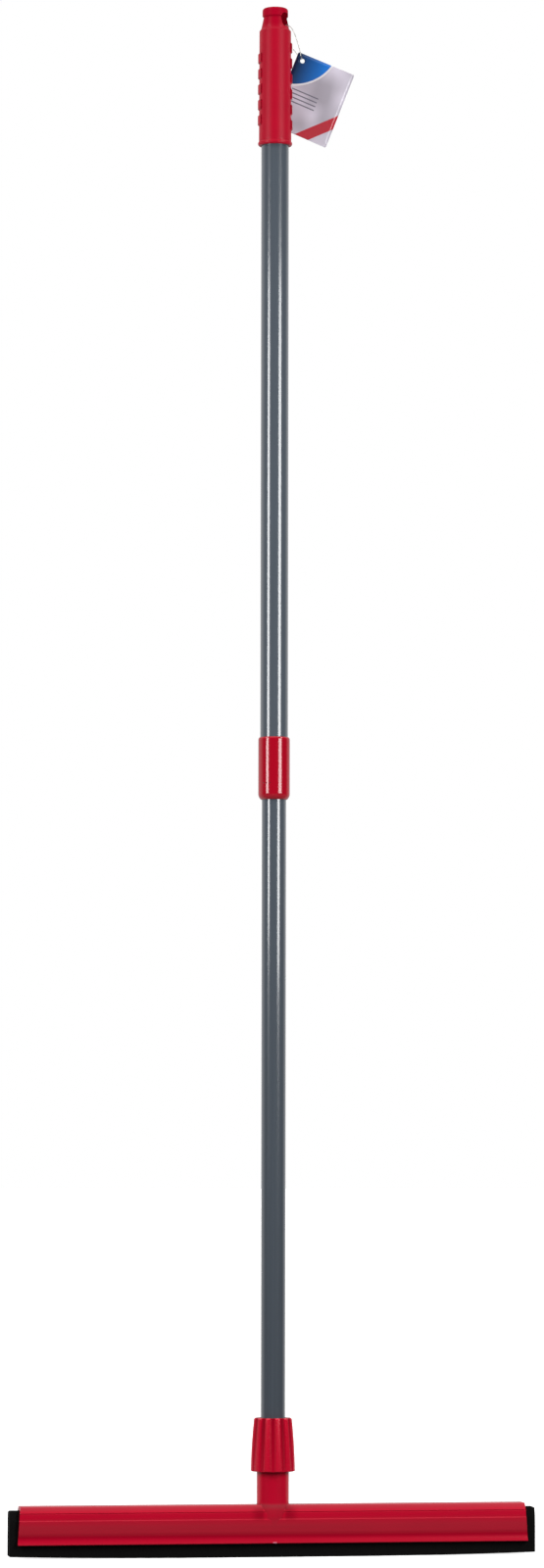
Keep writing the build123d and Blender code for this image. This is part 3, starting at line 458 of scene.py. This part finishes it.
def printed_card(colours):
    """Coated board with a plain offset print: a round blue corner about the eyelet, a slanting red ribbon
    and four thin rules on a lilac-grey ground. The coat gives a soft paper gloss."""
    material, tree, place = start_material("coated_printed_board")
    width, height = CARD_WIDTH / MM, CARD_HEIGHT / MM
    in_mm = {0: add_node(tree, "ShaderNodeUVMap", uv_map="card"), 1: (width, height, 0.0)}
    spot = add_node(tree, "ShaderNodeVectorMath", in_mm, operation="MULTIPLY")
    axes = add_node(tree, "ShaderNodeSeparateXYZ", {"Vector": spot})
    across, up = axes.outputs["X"], axes.outputs["Y"]
    clouds = add_node(tree, "ShaderNodeTexNoise", {"Vector": spot, "Scale": 1 / CLOUD_MM, "Detail": 1.0})
    middle = (-9.0, height + 11.0, 0.0)
    reach = add_node(tree, "ShaderNodeVectorMath", {0: spot, 1: middle}, operation="DISTANCE")
    fade = add_node(tree, "ShaderNodeMapRange", {"Value": across, "From Min": 3.0, "From Max": 27.0})
    blues = {0: fade, 6: shade(colours.card_corner, 0.2), 7: shade(colours.card_corner, 1.7)}
    blue = add_node(tree, "ShaderNodeMix", blues, data_type="RGBA")
    slant = add_node(tree, "ShaderNodeMath", {0: up, 1: across}, operation="SUBTRACT")
    ribbon = [(slant, 17.0 - width, 17.4 - width), (slant, 30.4 - width, 30.0 - width)]
    line = add_node(tree, "ShaderNodeMath", {0: up, 1: 3.6}, operation="FLOORED_MODULO")
    rules = [(line, 1.1, 0.9), (up, 24.9, 25.1), (up, 39.1, 38.9), (across, 6.0, 6.3), (across, 31.3, 31.0)]
    picture = shade(colours.card, 0.72)
    # Each ink and its limits: a measure, in mm but for the clouds, where the ink ends and where it is full
    for ink, limits in (
        (shade(colours.card, 1.2), [(clouds, 0.35, 0.65)]),
        (linear("#F4F2F6"), [(reach, 43.6, 43.2)]),
        (blue, [(reach, 42.0, 41.6)]),
        (colours.card_ribbon, ribbon),
        (linear("#6E6A7C"), rules),
    ):
        cover = 1.0
        for value, outside, inside in limits:
            limit = {"Value": value, "From Min": outside, "From Max": inside}
            inked = add_node(tree, "ShaderNodeMapRange", limit)
            cover = add_node(tree, "ShaderNodeMath", {0: inked, 1: cover}, operation="MULTIPLY")
        picture = add_node(tree, "ShaderNodeMix", {0: cover, 6: picture, 7: ink}, data_type="RGBA")
    felt = {"Vector": place, "Scale": per_metre(FIBRE_MM), "Detail": 4.0}
    fibres = add_node(tree, "ShaderNodeTexNoise", felt)
    coat = add_node(tree, "ShaderNodeMapRange", {"Value": fibres, "From Min": 0.3, "From Max": 0.7})
    settings = {"Coat Weight": 0.3, "Coat Roughness": 0.2}
    return end_material(material, picture, (coat, 0.3, 0.4), (fibres, 0.08, 0.05 * MM), settings)


def plain_board():
    """Uncoated back and cut edge of the card: greyish white, matte and faintly mottled."""
    material, tree, place = start_material("uncoated_board")
    felt = {"Vector": place, "Scale": per_metre(FIBRE_MM), "Detail": 4.0}
    fibres = add_node(tree, "ShaderNodeTexNoise", felt)
    shades = {0: fibres, 6: linear("#D6D2CB"), 7: linear("#EDEAE4")}
    tint = add_node(tree, "ShaderNodeMix", shades, data_type="RGBA")
    return end_material(material, tint, (fibres, 0.7, 0.9), (fibres, 0.2, 0.05 * MM), {})


def polyester_thread(colour):
    """Two-strand polyester thread: pale, with a soft lustre and fine filaments along its strands."""
    material, tree, place = start_material("polyester_thread")
    # Real filaments are about 0.02 mm; they are drawn at 0.25 mm so that they show
    fine = {"Vector": place, "Scale": per_metre(0.25), "Detail": 2.0}
    filaments = add_node(tree, "ShaderNodeTexNoise", fine)
    shades = {0: filaments, 6: shade(colour, 0.75), 7: shade(colour, 1.12)}
    tint = add_node(tree, "ShaderNodeMix", shades, data_type="RGBA")
    settings = {"Sheen Weight": 0.25, "Transmission Weight": 0.8}
    return end_material(material, tint, (filaments, 0.5, 0.75), (filaments, 0.3, 0.05 * MM), settings)


def moulded_nylon(colour):
    """Dark nylon of the parts inside: matte, with a coarse moulded grain and rubbed, shinier patches."""
    material, tree, place = start_material("moulded_nylon")
    rub = add_node(tree, "ShaderNodeTexNoise", {"Vector": place, "Scale": per_metre(7.0), "Detail": 2.0})
    shades = {0: rub, 6: shade(colour, 0.8), 7: shade(colour, 1.3)}
    tint = add_node(tree, "ShaderNodeMix", shades, data_type="RGBA")
    # Real grain is about 0.15 mm; it is drawn at 0.8 mm so that it shows
    grain = add_node(tree, "ShaderNodeTexNoise", {"Vector": place, "Scale": per_metre(0.8), "Detail": 3.0})
    relief = (grain, 0.25, 0.1 * MM)
    return end_material(material, tint, (rub, 0.65, 0.4), relief, {"IOR": 1.53}, edge=0.25 * MM)


def new_piece(name, data):
    """Object for a mesh, curve, light or camera, in the scene, at the origin."""
    piece = bpy.data.objects.new(name, data)
    bpy.context.scene.collection.objects.link(piece)
    return piece


def evaluated_mesh(piece):
    """New plain mesh of a piece's evaluated shape."""
    evaluated = piece.evaluated_get(bpy.context.evaluated_depsgraph_get())
    return bpy.data.meshes.new_from_object(evaluated)


def made_plain(piece):
    """Gives a piece its evaluated shape as a plain mesh, with no modifiers left."""
    mesh = evaluated_mesh(piece)
    if not mesh.polygons:
        raise RuntimeError(f"{piece.name} came out with no faces")
    mesh.name = piece.name
    piece.modifiers.clear()
    piece.data = mesh
    return piece


def start_tree(name, sizes):
    """New node tree for a mesh, with its named sizes and a material as inputs."""
    tree = bpy.data.node_groups.new(name, "GeometryNodeTree")
    inputs = [("Geometry", "Geometry"), *((size, "Float") for size in sizes), ("Material", "Material")]
    for label, kind in inputs:
        tree.interface.new_socket(label, in_out="INPUT", socket_type="NodeSocket" + kind)
    tree.interface.new_socket("Geometry", in_out="OUTPUT", socket_type="NodeSocketGeometry")
    return tree, add_node(tree, "NodeGroupInput").outputs


def end_tree(tree, path, profile, material):
    """Draws a profile along a path, and makes the shape real, smooth and finished in its material."""
    body = {"Curve": path, "Profile Curve": profile, "Fill Caps": True}
    shape = add_node(tree, "GeometryNodeCurveToMesh", body)
    smooth = add_node(tree, "GeometryNodeSetShadeSmooth", {"Geometry": shape})
    real = add_node(tree, "GeometryNodeRealizeInstances", {"Geometry": smooth})
    finished = add_node(tree, "GeometryNodeSetMaterial", {"Geometry": real, "Material": material})
    add_node(tree, "NodeGroupOutput", {"Geometry": finished})
    return tree


def run_tree(piece, tree, values):
    """Runs a tree on a piece with its named inputs, and keeps the result as a plain mesh."""
    modifier = piece.modifiers.new(tree.name, "NODES")
    modifier.node_group = tree
    for item in tree.interface.items_tree:
        if item.in_out == "INPUT" and item.name in values:
            modifier[item.identifier] = values[item.name]
    return made_plain(piece)


def twisted_strands():
    """Tree that lays two strands round each line of a mesh, as a laid thread has them."""
    tree, size = start_tree("twisted_strands", ("Strand radius", "Lay", "Step"))
    line = add_node(tree, "GeometryNodeMeshToCurve", {"Mesh": size["Geometry"]})
    even = {"Curve": line, "Length": size["Step"]}
    steps = add_node(tree, "GeometryNodeResampleCurve", even, mode="LENGTH")
    along = add_node(tree, "GeometryNodeSplineParameter").outputs["Length"]
    turns = add_node(tree, "ShaderNodeMath", {0: along, 1: size["Lay"]}, operation="DIVIDE")
    angle = add_node(tree, "ShaderNodeMath", {0: turns, 1: 2 * pi}, operation="MULTIPLY")
    laid = add_node(tree, "GeometryNodeSetCurveTilt", {"Curve": steps, "Tilt": angle})
    section = {"Resolution": 7, "Radius": size["Strand radius"]}
    strand = add_node(tree, "GeometryNodeCurvePrimitiveCircle", section)
    sides = []
    for side in (1.0, -1.0):
        offset = add_node(tree, "ShaderNodeMath", {0: size["Strand radius"], 1: side}, operation="MULTIPLY")
        place = add_node(tree, "ShaderNodeCombineXYZ", {"X": offset})
        sides.append(add_node(tree, "GeometryNodeTransform", {"Geometry": strand, "Translation": place}))
    pair = add_node(tree, "GeometryNodeJoinGeometry", {"Geometry": sides})
    return end_tree(tree, laid, pair, size["Material"])


def screw_ridge():
    """Tree that winds a rounded ridge up a core, as the moulded thread of the neck has it."""
    tree, size = start_tree("screw_ridge", ("Core radius", "Ridge height", "Pitch", "Low", "High"))
    rise = size["Ridge height"]
    span = add_node(tree, "ShaderNodeMath", {0: size["High"], 1: size["Low"]}, operation="SUBTRACT")
    turns = add_node(tree, "ShaderNodeMath", {0: span, 1: size["Pitch"]}, operation="DIVIDE")
    round_radius = add_node(tree, "ShaderNodeMath", {0: rise, 1: 2.0}, operation="MULTIPLY")
    radius = add_node(tree, "ShaderNodeMath", {0: size["Core radius"], 1: rise}, operation="SUBTRACT")
    winding = {
        "Resolution": 40,
        "Rotations": turns,
        "Start Radius": radius,
        "End Radius": radius,
        "Height": span,
    }
    path = add_node(tree, "GeometryNodeCurveSpiral", winding)
    lift = add_node(tree, "ShaderNodeCombineXYZ", {"Z": size["Low"]})
    raised = add_node(tree, "GeometryNodeTransform", {"Geometry": path, "Translation": lift})
    section = {"Resolution": 14, "Radius": round_radius}
    ridge = add_node(tree, "GeometryNodeCurvePrimitiveCircle", section)
    return end_tree(tree, raised, ridge, size["Material"])


def all_parts(work):
    """Every vertex, edge and face of a mesh in work."""
    return work.verts[:] + work.edges[:] + work.faces[:]


def ring_pairs(ring):
    """Each item of a closed ring with the next one."""
    return zip(ring, ring[1:] + ring[:1])


def end_mesh(work, name):
    """Finished mesh of what was in work."""
    mesh = bpy.data.meshes.new(name)
    work.to_mesh(mesh)
    work.free()
    return mesh


def line_mesh(name, lines):
    """Mesh of open lines, each through its own points."""
    work = bmesh.new()
    for line in lines:
        corners = [work.verts.new(point) for point in line]
        for pair in zip(corners, corners[1:]):
            work.edges.new(pair)
    return end_mesh(work, name)


def smooth_route(name, route):
    """Points along the smooth curve that has a route's points as its control points."""
    curve = bpy.data.curves.new(name, "CURVE")
    curve.dimensions = "3D"
    curve.resolution_u = 16
    spline = curve.splines.new("NURBS")
    spline.points.add(len(route) - 1)
    for control, point in zip(spline.points, route):
        control.co = (*point, 1.0)
    spline.order_u = 3
    spline.use_endpoint_u = True
    guide = new_piece(name, curve)
    mesh = evaluated_mesh(guide)
    points = [vertex.co.copy() for vertex in mesh.vertices]
    bpy.data.objects.remove(guide)
    bpy.data.curves.remove(curve)
    bpy.data.meshes.remove(mesh)
    return points


def dress(material, *nodes):
    """Gives solids their finish."""
    for node in nodes:
        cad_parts[node].material_slots[0].material = material


class SQUEEGEE_OT_thread(bpy.types.Operator):
    """Lays the card's two-strand thread through the hang slot and the card, with its wound knot"""

    bl_idname = "squeegee.thread"
    bl_label = "Thread and knot"

    def execute(self, context):
        sizes = context.scene.squeegee_sizes
        material = polyester_thread(context.scene.squeegee_colours.thread)
        tree = twisted_strands()
        strands = {
            "Strand radius": sizes.thread_diameter / 4,
            "Lay": sizes.thread_lay,
            "Step": sizes.thread_lay / STRAND_STEPS_IN_LAY,
            "Material": material,
        }
        path = smooth_route("thread_route", THREAD_ROUTE)
        thread = run_tree(new_piece("card_thread", line_mesh("card_thread", [path])), tree, strands)
        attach(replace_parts(thread, "tag_loop"), POLE_BODY)
        turns = line_mesh("thread_knot", self.windings(sizes))
        knot = run_tree(new_piece("thread_knot", turns), tree, strands)
        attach(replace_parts(knot, "tag_knot"), POLE_BODY)
        return {"FINISHED"}

    def windings(self, sizes):
        """Turns of thread round the knot's core, and the core itself."""
        middle = Vector((0.0, 0.0, THREAD_LEVEL))
        upwards = Vector((0.0, 0.0, 1.0))
        aside = SLOT_LINE.cross(upwards)
        radius = sizes.thread_diameter * KNOT_RADIUS_IN_THREADS
        steps = sizes.knot_turns * KNOT_STEPS_IN_TURN
        turns = []
        for step in range(steps + 1):
            angle = 2 * pi * step / KNOT_STEPS_IN_TURN
            along = SLOT_LINE * (KNOT_TURNS_SPAN * (step / steps - 0.5))
            turns.append(middle + along + (aside * cos(angle) + upwards * sin(angle)) * radius)
        core = [middle - SLOT_LINE * KNOT_CORE_HALF, middle + SLOT_LINE * KNOT_CORE_HALF]
        return [turns, core]


class SQUEEGEE_OT_card(bpy.types.Operator):
    """Makes the printed card with its eyelet and its slight curl"""

    bl_idname = "squeegee.card"
    bl_label = "Printed card"

    def execute(self, context):
        sizes = context.scene.squeegee_sizes
        mesh = self.flat_card()
        for vertex in mesh.vertices:
            vertex.co = self.hung(vertex.co.x, vertex.co.y, sizes.card_curl)
        card = new_piece("printed_card", mesh)
        mesh.materials.append(printed_card(context.scene.squeegee_colours))
        mesh.materials.append(plain_board())
        wall = card.modifiers.new("thickness", "SOLIDIFY")
        wall.thickness = sizes.card_thickness
        wall.offset = 0.0
        wall.material_offset = 1
        wall.material_offset_rim = 1
        made_plain(card)
        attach(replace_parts(card, "hang_tag"), CARD_BODY)
        return {"FINISHED"}

    def flat_card(self):
        """Flat card, measured right and down from its upper left corner, with the eyelet cut out."""
        right, foot = CARD_WIDTH - CARD_ROUNDING, CARD_HEIGHT - CARD_ROUNDING
        outline = []
        for x, y, start in (
            (right, CARD_ROUNDING, -90),
            (right, foot, 0),
            (CARD_ROUNDING, foot, 90),
            (CARD_ROUNDING, CARD_ROUNDING, 180),
        ):
            outline += self.arc(x, y, CARD_ROUNDING, start, 90, CARD_CORNER_STEPS)
        eyelet = self.arc(EYELET_FROM_SIDE, EYELET_FROM_TOP, EYELET_RADIUS, 0, 360, EYELET_SIDES)[:-1]
        work = bmesh.new()
        for ring in (outline, eyelet):
            for pair in ring_pairs([work.verts.new((x, y, 0.0)) for x, y in ring]):
                work.edges.new(pair)
        bmesh.ops.triangle_fill(work, use_beauty=True, edges=work.edges[:])
        for normal, length in (((1, 0, 0), CARD_WIDTH), ((0, 1, 0), CARD_HEIGHT)):
            cuts = round(length / CARD_FACE)
            for cut in range(1, cuts):
                place = Vector(normal) * (length * cut / cuts)
                bmesh.ops.bisect_plane(work, geom=all_parts(work), plane_co=place, plane_no=normal)
        marks = work.loops.layers.uv.new("card")
        for face in work.faces:
            face.smooth = True
            # Down is +Y here, so a face seen from the front turns its normal to -Z
            if face.normal.z > 0:
                face.normal_flip()
            for loop in face.loops:
                loop[marks].uv = (loop.vert.co.x / CARD_WIDTH, 1.0 - loop.vert.co.y / CARD_HEIGHT)
        return end_mesh(work, "printed_card")

    def arc(self, x, y, radius, start, sweep, steps):
        """Points of an arc round a middle, from its first direction and its sweep, in degrees."""
        turns = [radians(start + sweep * step / steps) for step in range(steps + 1)]
        return [(x + radius * cos(turn), y + radius * sin(turn)) for turn in turns]

    def hung(self, across, down, curl):
        """Place of a point of the card when it hangs, its lower right corner bent back."""
        reach = CURL_ACROSS * (across - EYELET_FROM_SIDE) + CURL_DOWN * (down - EYELET_FROM_TOP)
        place = CARD_CORNER + CARD_ACROSS * across + CARD_DOWN * down
        return place + Vector((0.0, curl * max(reach / CARD_HEIGHT, 0.0) ** 2, 0.0))


class SQUEEGEE_OT_foam(bpy.types.Operator):
    """Makes the two sponge-rubber strips, with soft cut edges and ends that rise from the floor"""

    bl_idname = "squeegee.foam"
    bl_label = "Foam strips"

    def execute(self, context):
        sizes = context.scene.squeegee_sizes
        material = cellular_rubber(context.scene.squeegee_colours.foam)
        for node in ("front_foam_lip", "rear_foam_lip"):
            strip = new_piece(node.replace("lip", "strip"), self.strip(node, sizes))
            strip.data.materials.append(material)
            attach(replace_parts(strip, node), HEAD_BODY)
        return {"FINISHED"}

    def section(self, node, rounding):
        """Outline of a strip's solid halfway along, as depth and height, with corners rounded."""
        work = bmesh.new()
        work.from_mesh(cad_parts[node].data)
        bmesh.ops.remove_doubles(work, verts=work.verts[:], dist=0.01 * MM)
        halfway = {"plane_co": (0, 0, 0), "plane_no": (1, 0, 0), "clear_inner": True, "clear_outer": True}
        cut = bmesh.ops.bisect_plane(work, geom=all_parts(work), **halfway)
        edges = [item for item in cut["geom_cut"] if isinstance(item, bmesh.types.BMEdge)]
        bmesh.ops.contextual_create(work, geom=edges)
        straight = [vertex for vertex in work.verts if len(vertex.link_edges) == 2]
        bmesh.ops.dissolve_limit(work, angle_limit=radians(1.0), verts=straight, edges=work.edges[:])
        round_edge = {"offset": rounding, "segments": 3, "profile": 0.5, "affect": "VERTICES"}
        bmesh.ops.bevel(work, geom=work.verts[:], **round_edge)
        face = max(work.faces, key=lambda candidate: candidate.calc_area())
        corners = [vertex.co.yz.copy() for vertex in face.verts]
        work.free()
        outline = []
        for one, other in ring_pairs(corners):
            steps = max(1, round((other - one).length / FOAM_OUTLINE_STEP))
            outline += [one.lerp(other, step / steps) for step in range(steps)]
        return outline

    def stations(self, rounding):
        """Places along a strip, with how far its outline is drawn in there to round the ends."""
        low = []
        for share in FOAM_END_SHARES:
            inset = rounding * (1 - sqrt(1 - (1 - share) ** 2))
            low.append((-FOAM_HALF + share * rounding, inset))
        low += [(-FOAM_HALF + away, 0.0) for away in FOAM_END_STEPS]
        start = -low[-1][0]
        middle = [(-start + 2 * start * step / FOAM_SECTIONS, 0.0) for step in range(1, FOAM_SECTIONS)]
        return low + middle + [(-place, inset) for place, inset in reversed(low)]

    def inward(self, outline):
        """Direction into a strip at each point of its outline."""
        # Inside is on the left of an outline that runs anticlockwise
        area = sum(one.cross(other) for one, other in ring_pairs(outline))
        side = 1.0 if area > 0 else -1.0
        directions = []
        for before, after in zip(outline[-1:] + outline[:-1], outline[1:] + outline[:1]):
            along = (after - before).normalized()
            directions.append(Vector((-along.y, along.x)) * side)
        return directions

    def strip(self, node, sizes):
        """Mesh of a strip: its outline drawn along the head."""
        outline = self.section(node, sizes.foam_edge)
        inward = self.inward(outline)
        work = bmesh.new()
        rings = []
        for x, inset in self.stations(sizes.foam_edge):
            into_corner = max(FOAM_TOP_ROUNDING - (FOAM_HALF - abs(x)), 0.0)
            drop = FOAM_TOP_ROUNDING - sqrt(FOAM_TOP_ROUNDING**2 - into_corner**2)
            rise = sizes.foam_rise * (abs(x) / FOAM_HALF) ** 3
            ring = []
            for place, direction in zip(outline, inward):
                wave = abs(noise.noise(Vector((x, place.x, place.y)) * per_metre(FOAM_WAVE_MM)))
                depth, height = place + direction * (inset + wave * sizes.foam_unevenness)
                height += rise * max(0.0, 1.0 - height / LIP_LEVEL)
                ring.append(work.verts.new((x, depth, min(height, FOAM_HIGH.z - drop))))
            rings.append(ring)
        for end in (rings[0], rings[-1]):
            work.faces.new(end)
        for ring, next_ring in zip(rings, rings[1:]):
            for (one, other), (far_one, far_other) in zip(ring_pairs(ring), ring_pairs(next_ring)):
                work.faces.new((one, other, far_other, far_one)).smooth = True
        bmesh.ops.recalc_face_normals(work, faces=work.faces[:])
        return end_mesh(work, node)


class SQUEEGEE_OT_head(bpy.types.Operator):
    """Finishes the head moulding, with its painted shade and sheen, the screw ridge on its neck and the
    moulding mark on its lip, painted pale pink as a highlight
    """

    bl_idname = "squeegee.head"
    bl_label = "Head moulding"

    def execute(self, context):
        sizes = context.scene.squeegee_sizes
        colour = context.scene.squeegee_colours.head
        material = moulded_polypropylene("moulded_polypropylene_head", colour, 0.22, 0.34, head_painted_light)
        dress(material, "squeegee_head")
        winding = {
            "Core radius": NECK_RADIUS,
            "Ridge height": sizes.ridge_height,
            "Pitch": sizes.ridge_pitch,
            "Low": RIDGE_LOW,
            "High": RIDGE_HIGH,
            "Material": material,
        }
        core = new_piece("neck_screw_ridge", line_mesh("neck_screw_ridge", []))
        ridge = run_tree(core, screw_ridge(), winding)
        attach(ridge, HEAD_BODY)
        mark = new_piece("lip_gate_mark", self.gate_mark(sizes.gate_radius))
        # The mark's pale pink is a painted highlight
        pale = moulded_polypropylene("painted_highlight_polypropylene", linear("#EC8098"), 0.3, 0.3)
        mark.data.materials.append(pale)
        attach(mark, HEAD_BODY)
        return {"FINISHED"}

    def gate_mark(self, radius):
        """Low round scar with a broken stub in its middle, where the plastic entered the mould."""
        work = bmesh.new()
        rim = [work.verts.new((share * radius, 0.0, rise * MM)) for share, rise in GATE_PROFILE]
        edges = [work.edges.new(pair) for pair in zip(rim, rim[1:])]
        whole_turn = {"cent": (0, 0, 0), "axis": (0, 0, 1), "angle": 2 * pi, "use_merge": True}
        bmesh.ops.spin(work, geom=rim + edges, steps=GATE_SIDES, **whole_turn)
        bmesh.ops.remove_doubles(work, verts=work.verts[:], dist=0.001 * MM)
        bmesh.ops.recalc_face_normals(work, faces=work.faces[:])
        for face in work.faces:
            face.smooth = True
        flat = Matrix.Diagonal((1.0, 1.0, GATE_FLATNESS, 1.0))
        work.transform(Matrix.Translation(GATE_PLACE) @ flat @ Matrix.Rotation(pi / 2, 4, "X"))
        return end_mesh(work, "lip_gate_mark")


class SQUEEGEE_OT_nut(bpy.types.Operator):
    """Finishes the fluted clamp nut"""

    bl_idname = "squeegee.nut"
    bl_label = "Clamp nut"

    def execute(self, context):
        colour = context.scene.squeegee_colours.nut
        material = moulded_polypropylene("moulded_polypropylene_nut", colour, 0.26, 0.4, flute_painted_light)
        dress(material, "clamp_nut")
        return {"FINISHED"}


class SQUEEGEE_OT_collar(bpy.types.Operator):
    """Finishes the glossy collar"""

    bl_idname = "squeegee.collar"
    bl_label = "Collar"

    def execute(self, context):
        dress(polished_abs(context.scene.squeegee_colours.collar), "collar")
        return {"FINISHED"}


class SQUEEGEE_OT_grip(bpy.types.Operator):
    """Finishes the hand grip"""

    bl_idname = "squeegee.grip"
    bl_label = "Hand grip"

    def execute(self, context):
        colour = context.scene.squeegee_colours.grip
        material = moulded_polypropylene("moulded_polypropylene_grip", colour, 0.4, 0.25, neck_painted_shade)
        dress(material, "grip")
        return {"FINISHED"}


class SQUEEGEE_OT_tubes(bpy.types.Operator):
    """Finishes the two lacquered tubes"""

    bl_idname = "squeegee.tubes"
    bl_label = "Pole tubes"

    def execute(self, context):
        material = lacquered_steel(context.scene.squeegee_colours.tube)
        dress(material, "lower_tube", "upper_tube")
        return {"FINISHED"}


class SQUEEGEE_OT_inner_parts(bpy.types.Operator):
    """Finishes the plastic parts inside the pole and the head"""

    bl_idname = "squeegee.inner_parts"
    bl_label = "Inner parts"

    def execute(self, context):
        material = moulded_nylon(context.scene.squeegee_colours.inner)
        dress(material, "spreader_rail", "clamp_ring", "foot_plug", "lock_core", "lock_ring", "lock_cap")
        return {"FINISHED"}


class SQUEEGEE_OT_stage(bpy.types.Operator):
    """Sets up the pale floor, the soft studio light and the camera"""

    bl_idname = "squeegee.stage"
    bl_label = "Stage"

    def execute(self, context):
        scene = context.scene
        scene.view_settings.view_transform = "Standard"
        studio = scene.squeegee_studio
        self.floor()
        self.room(scene, studio.fill)
        for name, turn, width, low in SOFTBOXES:
            self.softbox(name, studio.camera_bearing + radians(turn), width, low, studio.softbox)
        for name, turn in HIGH_LIGHTS:
            self.high_light(name, studio.camera_bearing + radians(turn), studio.overhead)
        scene.camera = self.camera(studio)
        return {"FINISHED"}

    def floor(self):
        """Large matte white floor that glows a little, as an overlit studio sweep does."""
        corners = [(x * FLOOR_HALF, y * FLOOR_HALF, 0) for x, y in ((-1, -1), (1, -1), (1, 1), (-1, 1))]
        mesh = bpy.data.meshes.new("floor")
        mesh.from_pydata(corners, [], [(0, 1, 2, 3)])
        floor = new_piece("floor", mesh)
        finish = {
            "Base Color": linear("#E6E6E6"),
            "Roughness": 0.9,
            "Specular IOR Level": 0.0,
            "Emission Color": WHITE,
            "Emission Strength": 0.85,
        }
        material, tree = start_material("white_sweep")[:2]
        shader = add_node(tree, "ShaderNodeBsdfPrincipled", finish)
        add_node(tree, "ShaderNodeOutputMaterial", {"Surface": shader})
        mesh.materials.append(material)
        floor.visible_glossy = False
        floor.visible_diffuse = False

    def room(self, scene, fill):
        """Room that is dim in front and grows light overhead, behind and below, seen as white all round."""
        scene.world = bpy.data.worlds.new("studio")
        scene.world.use_nodes = True
        tree = scene.world.node_tree
        tree.nodes.clear()
        way = add_node(tree, "ShaderNodeTexCoord").outputs["Generated"]
        axes = add_node(tree, "ShaderNodeSeparateXYZ", {"Vector": way})
        glow = 0.0
        for axis, low, high, dim, bright in (
            ("Z", 0.62, 1.0, fill, 0.9),
            ("Y", -0.05, 0.45, 0.0, 0.65),
            ("Z", -0.08, -0.2, 0.0, 0.25),
        ):
            limits = {"From Min": low, "From Max": high, "To Min": dim, "To Max": bright}
            part = add_node(tree, "ShaderNodeMapRange", {"Value": axes.outputs[axis], **limits})
            glow = add_node(tree, "ShaderNodeMath", {0: part, 1: glow}, operation="MAXIMUM")
        lit = add_node(tree, "ShaderNodeBackground", {"Color": WHITE, "Strength": glow})
        seen = add_node(tree, "ShaderNodeBackground", {"Color": WHITE, "Strength": 1.0})
        direct = add_node(tree, "ShaderNodeLightPath").outputs["Is Camera Ray"]
        mixed = add_node(tree, "ShaderNodeMixShader", {0: direct, 1: lit, 2: seen})
        add_node(tree, "ShaderNodeOutputWorld", {"Surface": mixed})

    def softbox(self, name, bearing, width, low, radiance):
        """Upright softbox beside the camera, from its lower edge to a little above the grip."""
        height, tall = (low + SOFTBOX_TOP) / 2, SOFTBOX_TOP - low
        light = bpy.data.lights.new(name, "AREA")
        light.shape = "RECTANGLE"
        light.size = width
        light.size_y = tall
        light.energy = pi * width * tall * radiance
        box = new_piece(name, light)
        box.location = (sin(bearing) * SOFTBOX_DISTANCE, -cos(bearing) * SOFTBOX_DISTANCE, height)
        aim = Vector((0.0, 0.0, height)) - box.location
        box.rotation_euler = aim.to_track_quat("-Z", "Y").to_euler()
        box.visible_camera = False

    def high_light(self, name, bearing, irradiance):
        """Broad light high in front, far enough away to light the pole evenly."""
        light = bpy.data.lights.new(name, "SUN")
        light.angle = HIGH_LIGHT_SPREAD
        light.energy = irradiance
        place = Vector((sin(bearing), -cos(bearing), HIGH_LIGHT_SLOPE))
        new_piece(name, light).rotation_euler = (-place).to_track_quat("-Z", "Y").to_euler()

    def camera(self, studio):
        """Camera low in front of the pole and a little to its left, tilted up."""
        data = bpy.data.cameras.new("camera")
        data.lens = studio.lens
        data.sensor_width = 36.0
        camera = new_piece("camera", data)
        bearing = studio.camera_bearing
        place = Vector((sin(bearing), -cos(bearing), 0.0)) * studio.camera_distance
        place.z = studio.camera_height
        turn = Matrix.Rotation(bearing - studio.camera_aside, 4, "Z")
        tilt = Matrix.Rotation(pi / 2 + studio.camera_pitch, 4, "X")
        roll = Matrix.Rotation(studio.camera_roll, 4, "Z")
        camera.matrix_world = Matrix.Translation(place) @ turn @ tilt @ roll
        return camera


STEPS = (
    SQUEEGEE_OT_stage,
    SQUEEGEE_OT_thread,
    SQUEEGEE_OT_card,
    SQUEEGEE_OT_foam,
    SQUEEGEE_OT_head,
    SQUEEGEE_OT_nut,
    SQUEEGEE_OT_collar,
    SQUEEGEE_OT_grip,
    SQUEEGEE_OT_tubes,
    SQUEEGEE_OT_inner_parts,
)


class SQUEEGEE_PT_steps(bpy.types.Panel):
    """Lists the steps that build the squeegee's looks"""

    bl_label = "Floor squeegee"
    bl_idname = "SQUEEGEE_PT_steps"
    bl_space_type = "VIEW_3D"
    bl_region_type = "UI"
    bl_category = "Squeegee"

    def draw(self, context):
        for step in STEPS:
            self.layout.operator(step.bl_idname)


GROUPS = {
    "squeegee_colours": SqueegeeColours,
    "squeegee_sizes": SqueegeeSizes,
    "squeegee_studio": SqueegeeStudio,
}


def register():
    for name, group in GROUPS.items():
        bpy.utils.register_class(group)
        setattr(bpy.types.Scene, name, PointerProperty(type=group))
    for step in STEPS:
        bpy.utils.register_class(step)
    bpy.utils.register_class(SQUEEGEE_PT_steps)


def unregister():
    bpy.utils.unregister_class(SQUEEGEE_PT_steps)
    for step in reversed(STEPS):
        bpy.utils.unregister_class(step)
    for name, group in GROUPS.items():
        delattr(bpy.types.Scene, name)
        bpy.utils.unregister_class(group)


def main():
    register()
    bpy.ops.squeegee.stage()
    bpy.ops.squeegee.thread()
    bpy.ops.squeegee.card()
    bpy.ops.squeegee.foam()
    bpy.ops.squeegee.head()
    bpy.ops.squeegee.nut()
    bpy.ops.squeegee.collar()
    bpy.ops.squeegee.grip()
    bpy.ops.squeegee.tubes()
    bpy.ops.squeegee.inner_parts()


if __name__ == "__main__":
    main()
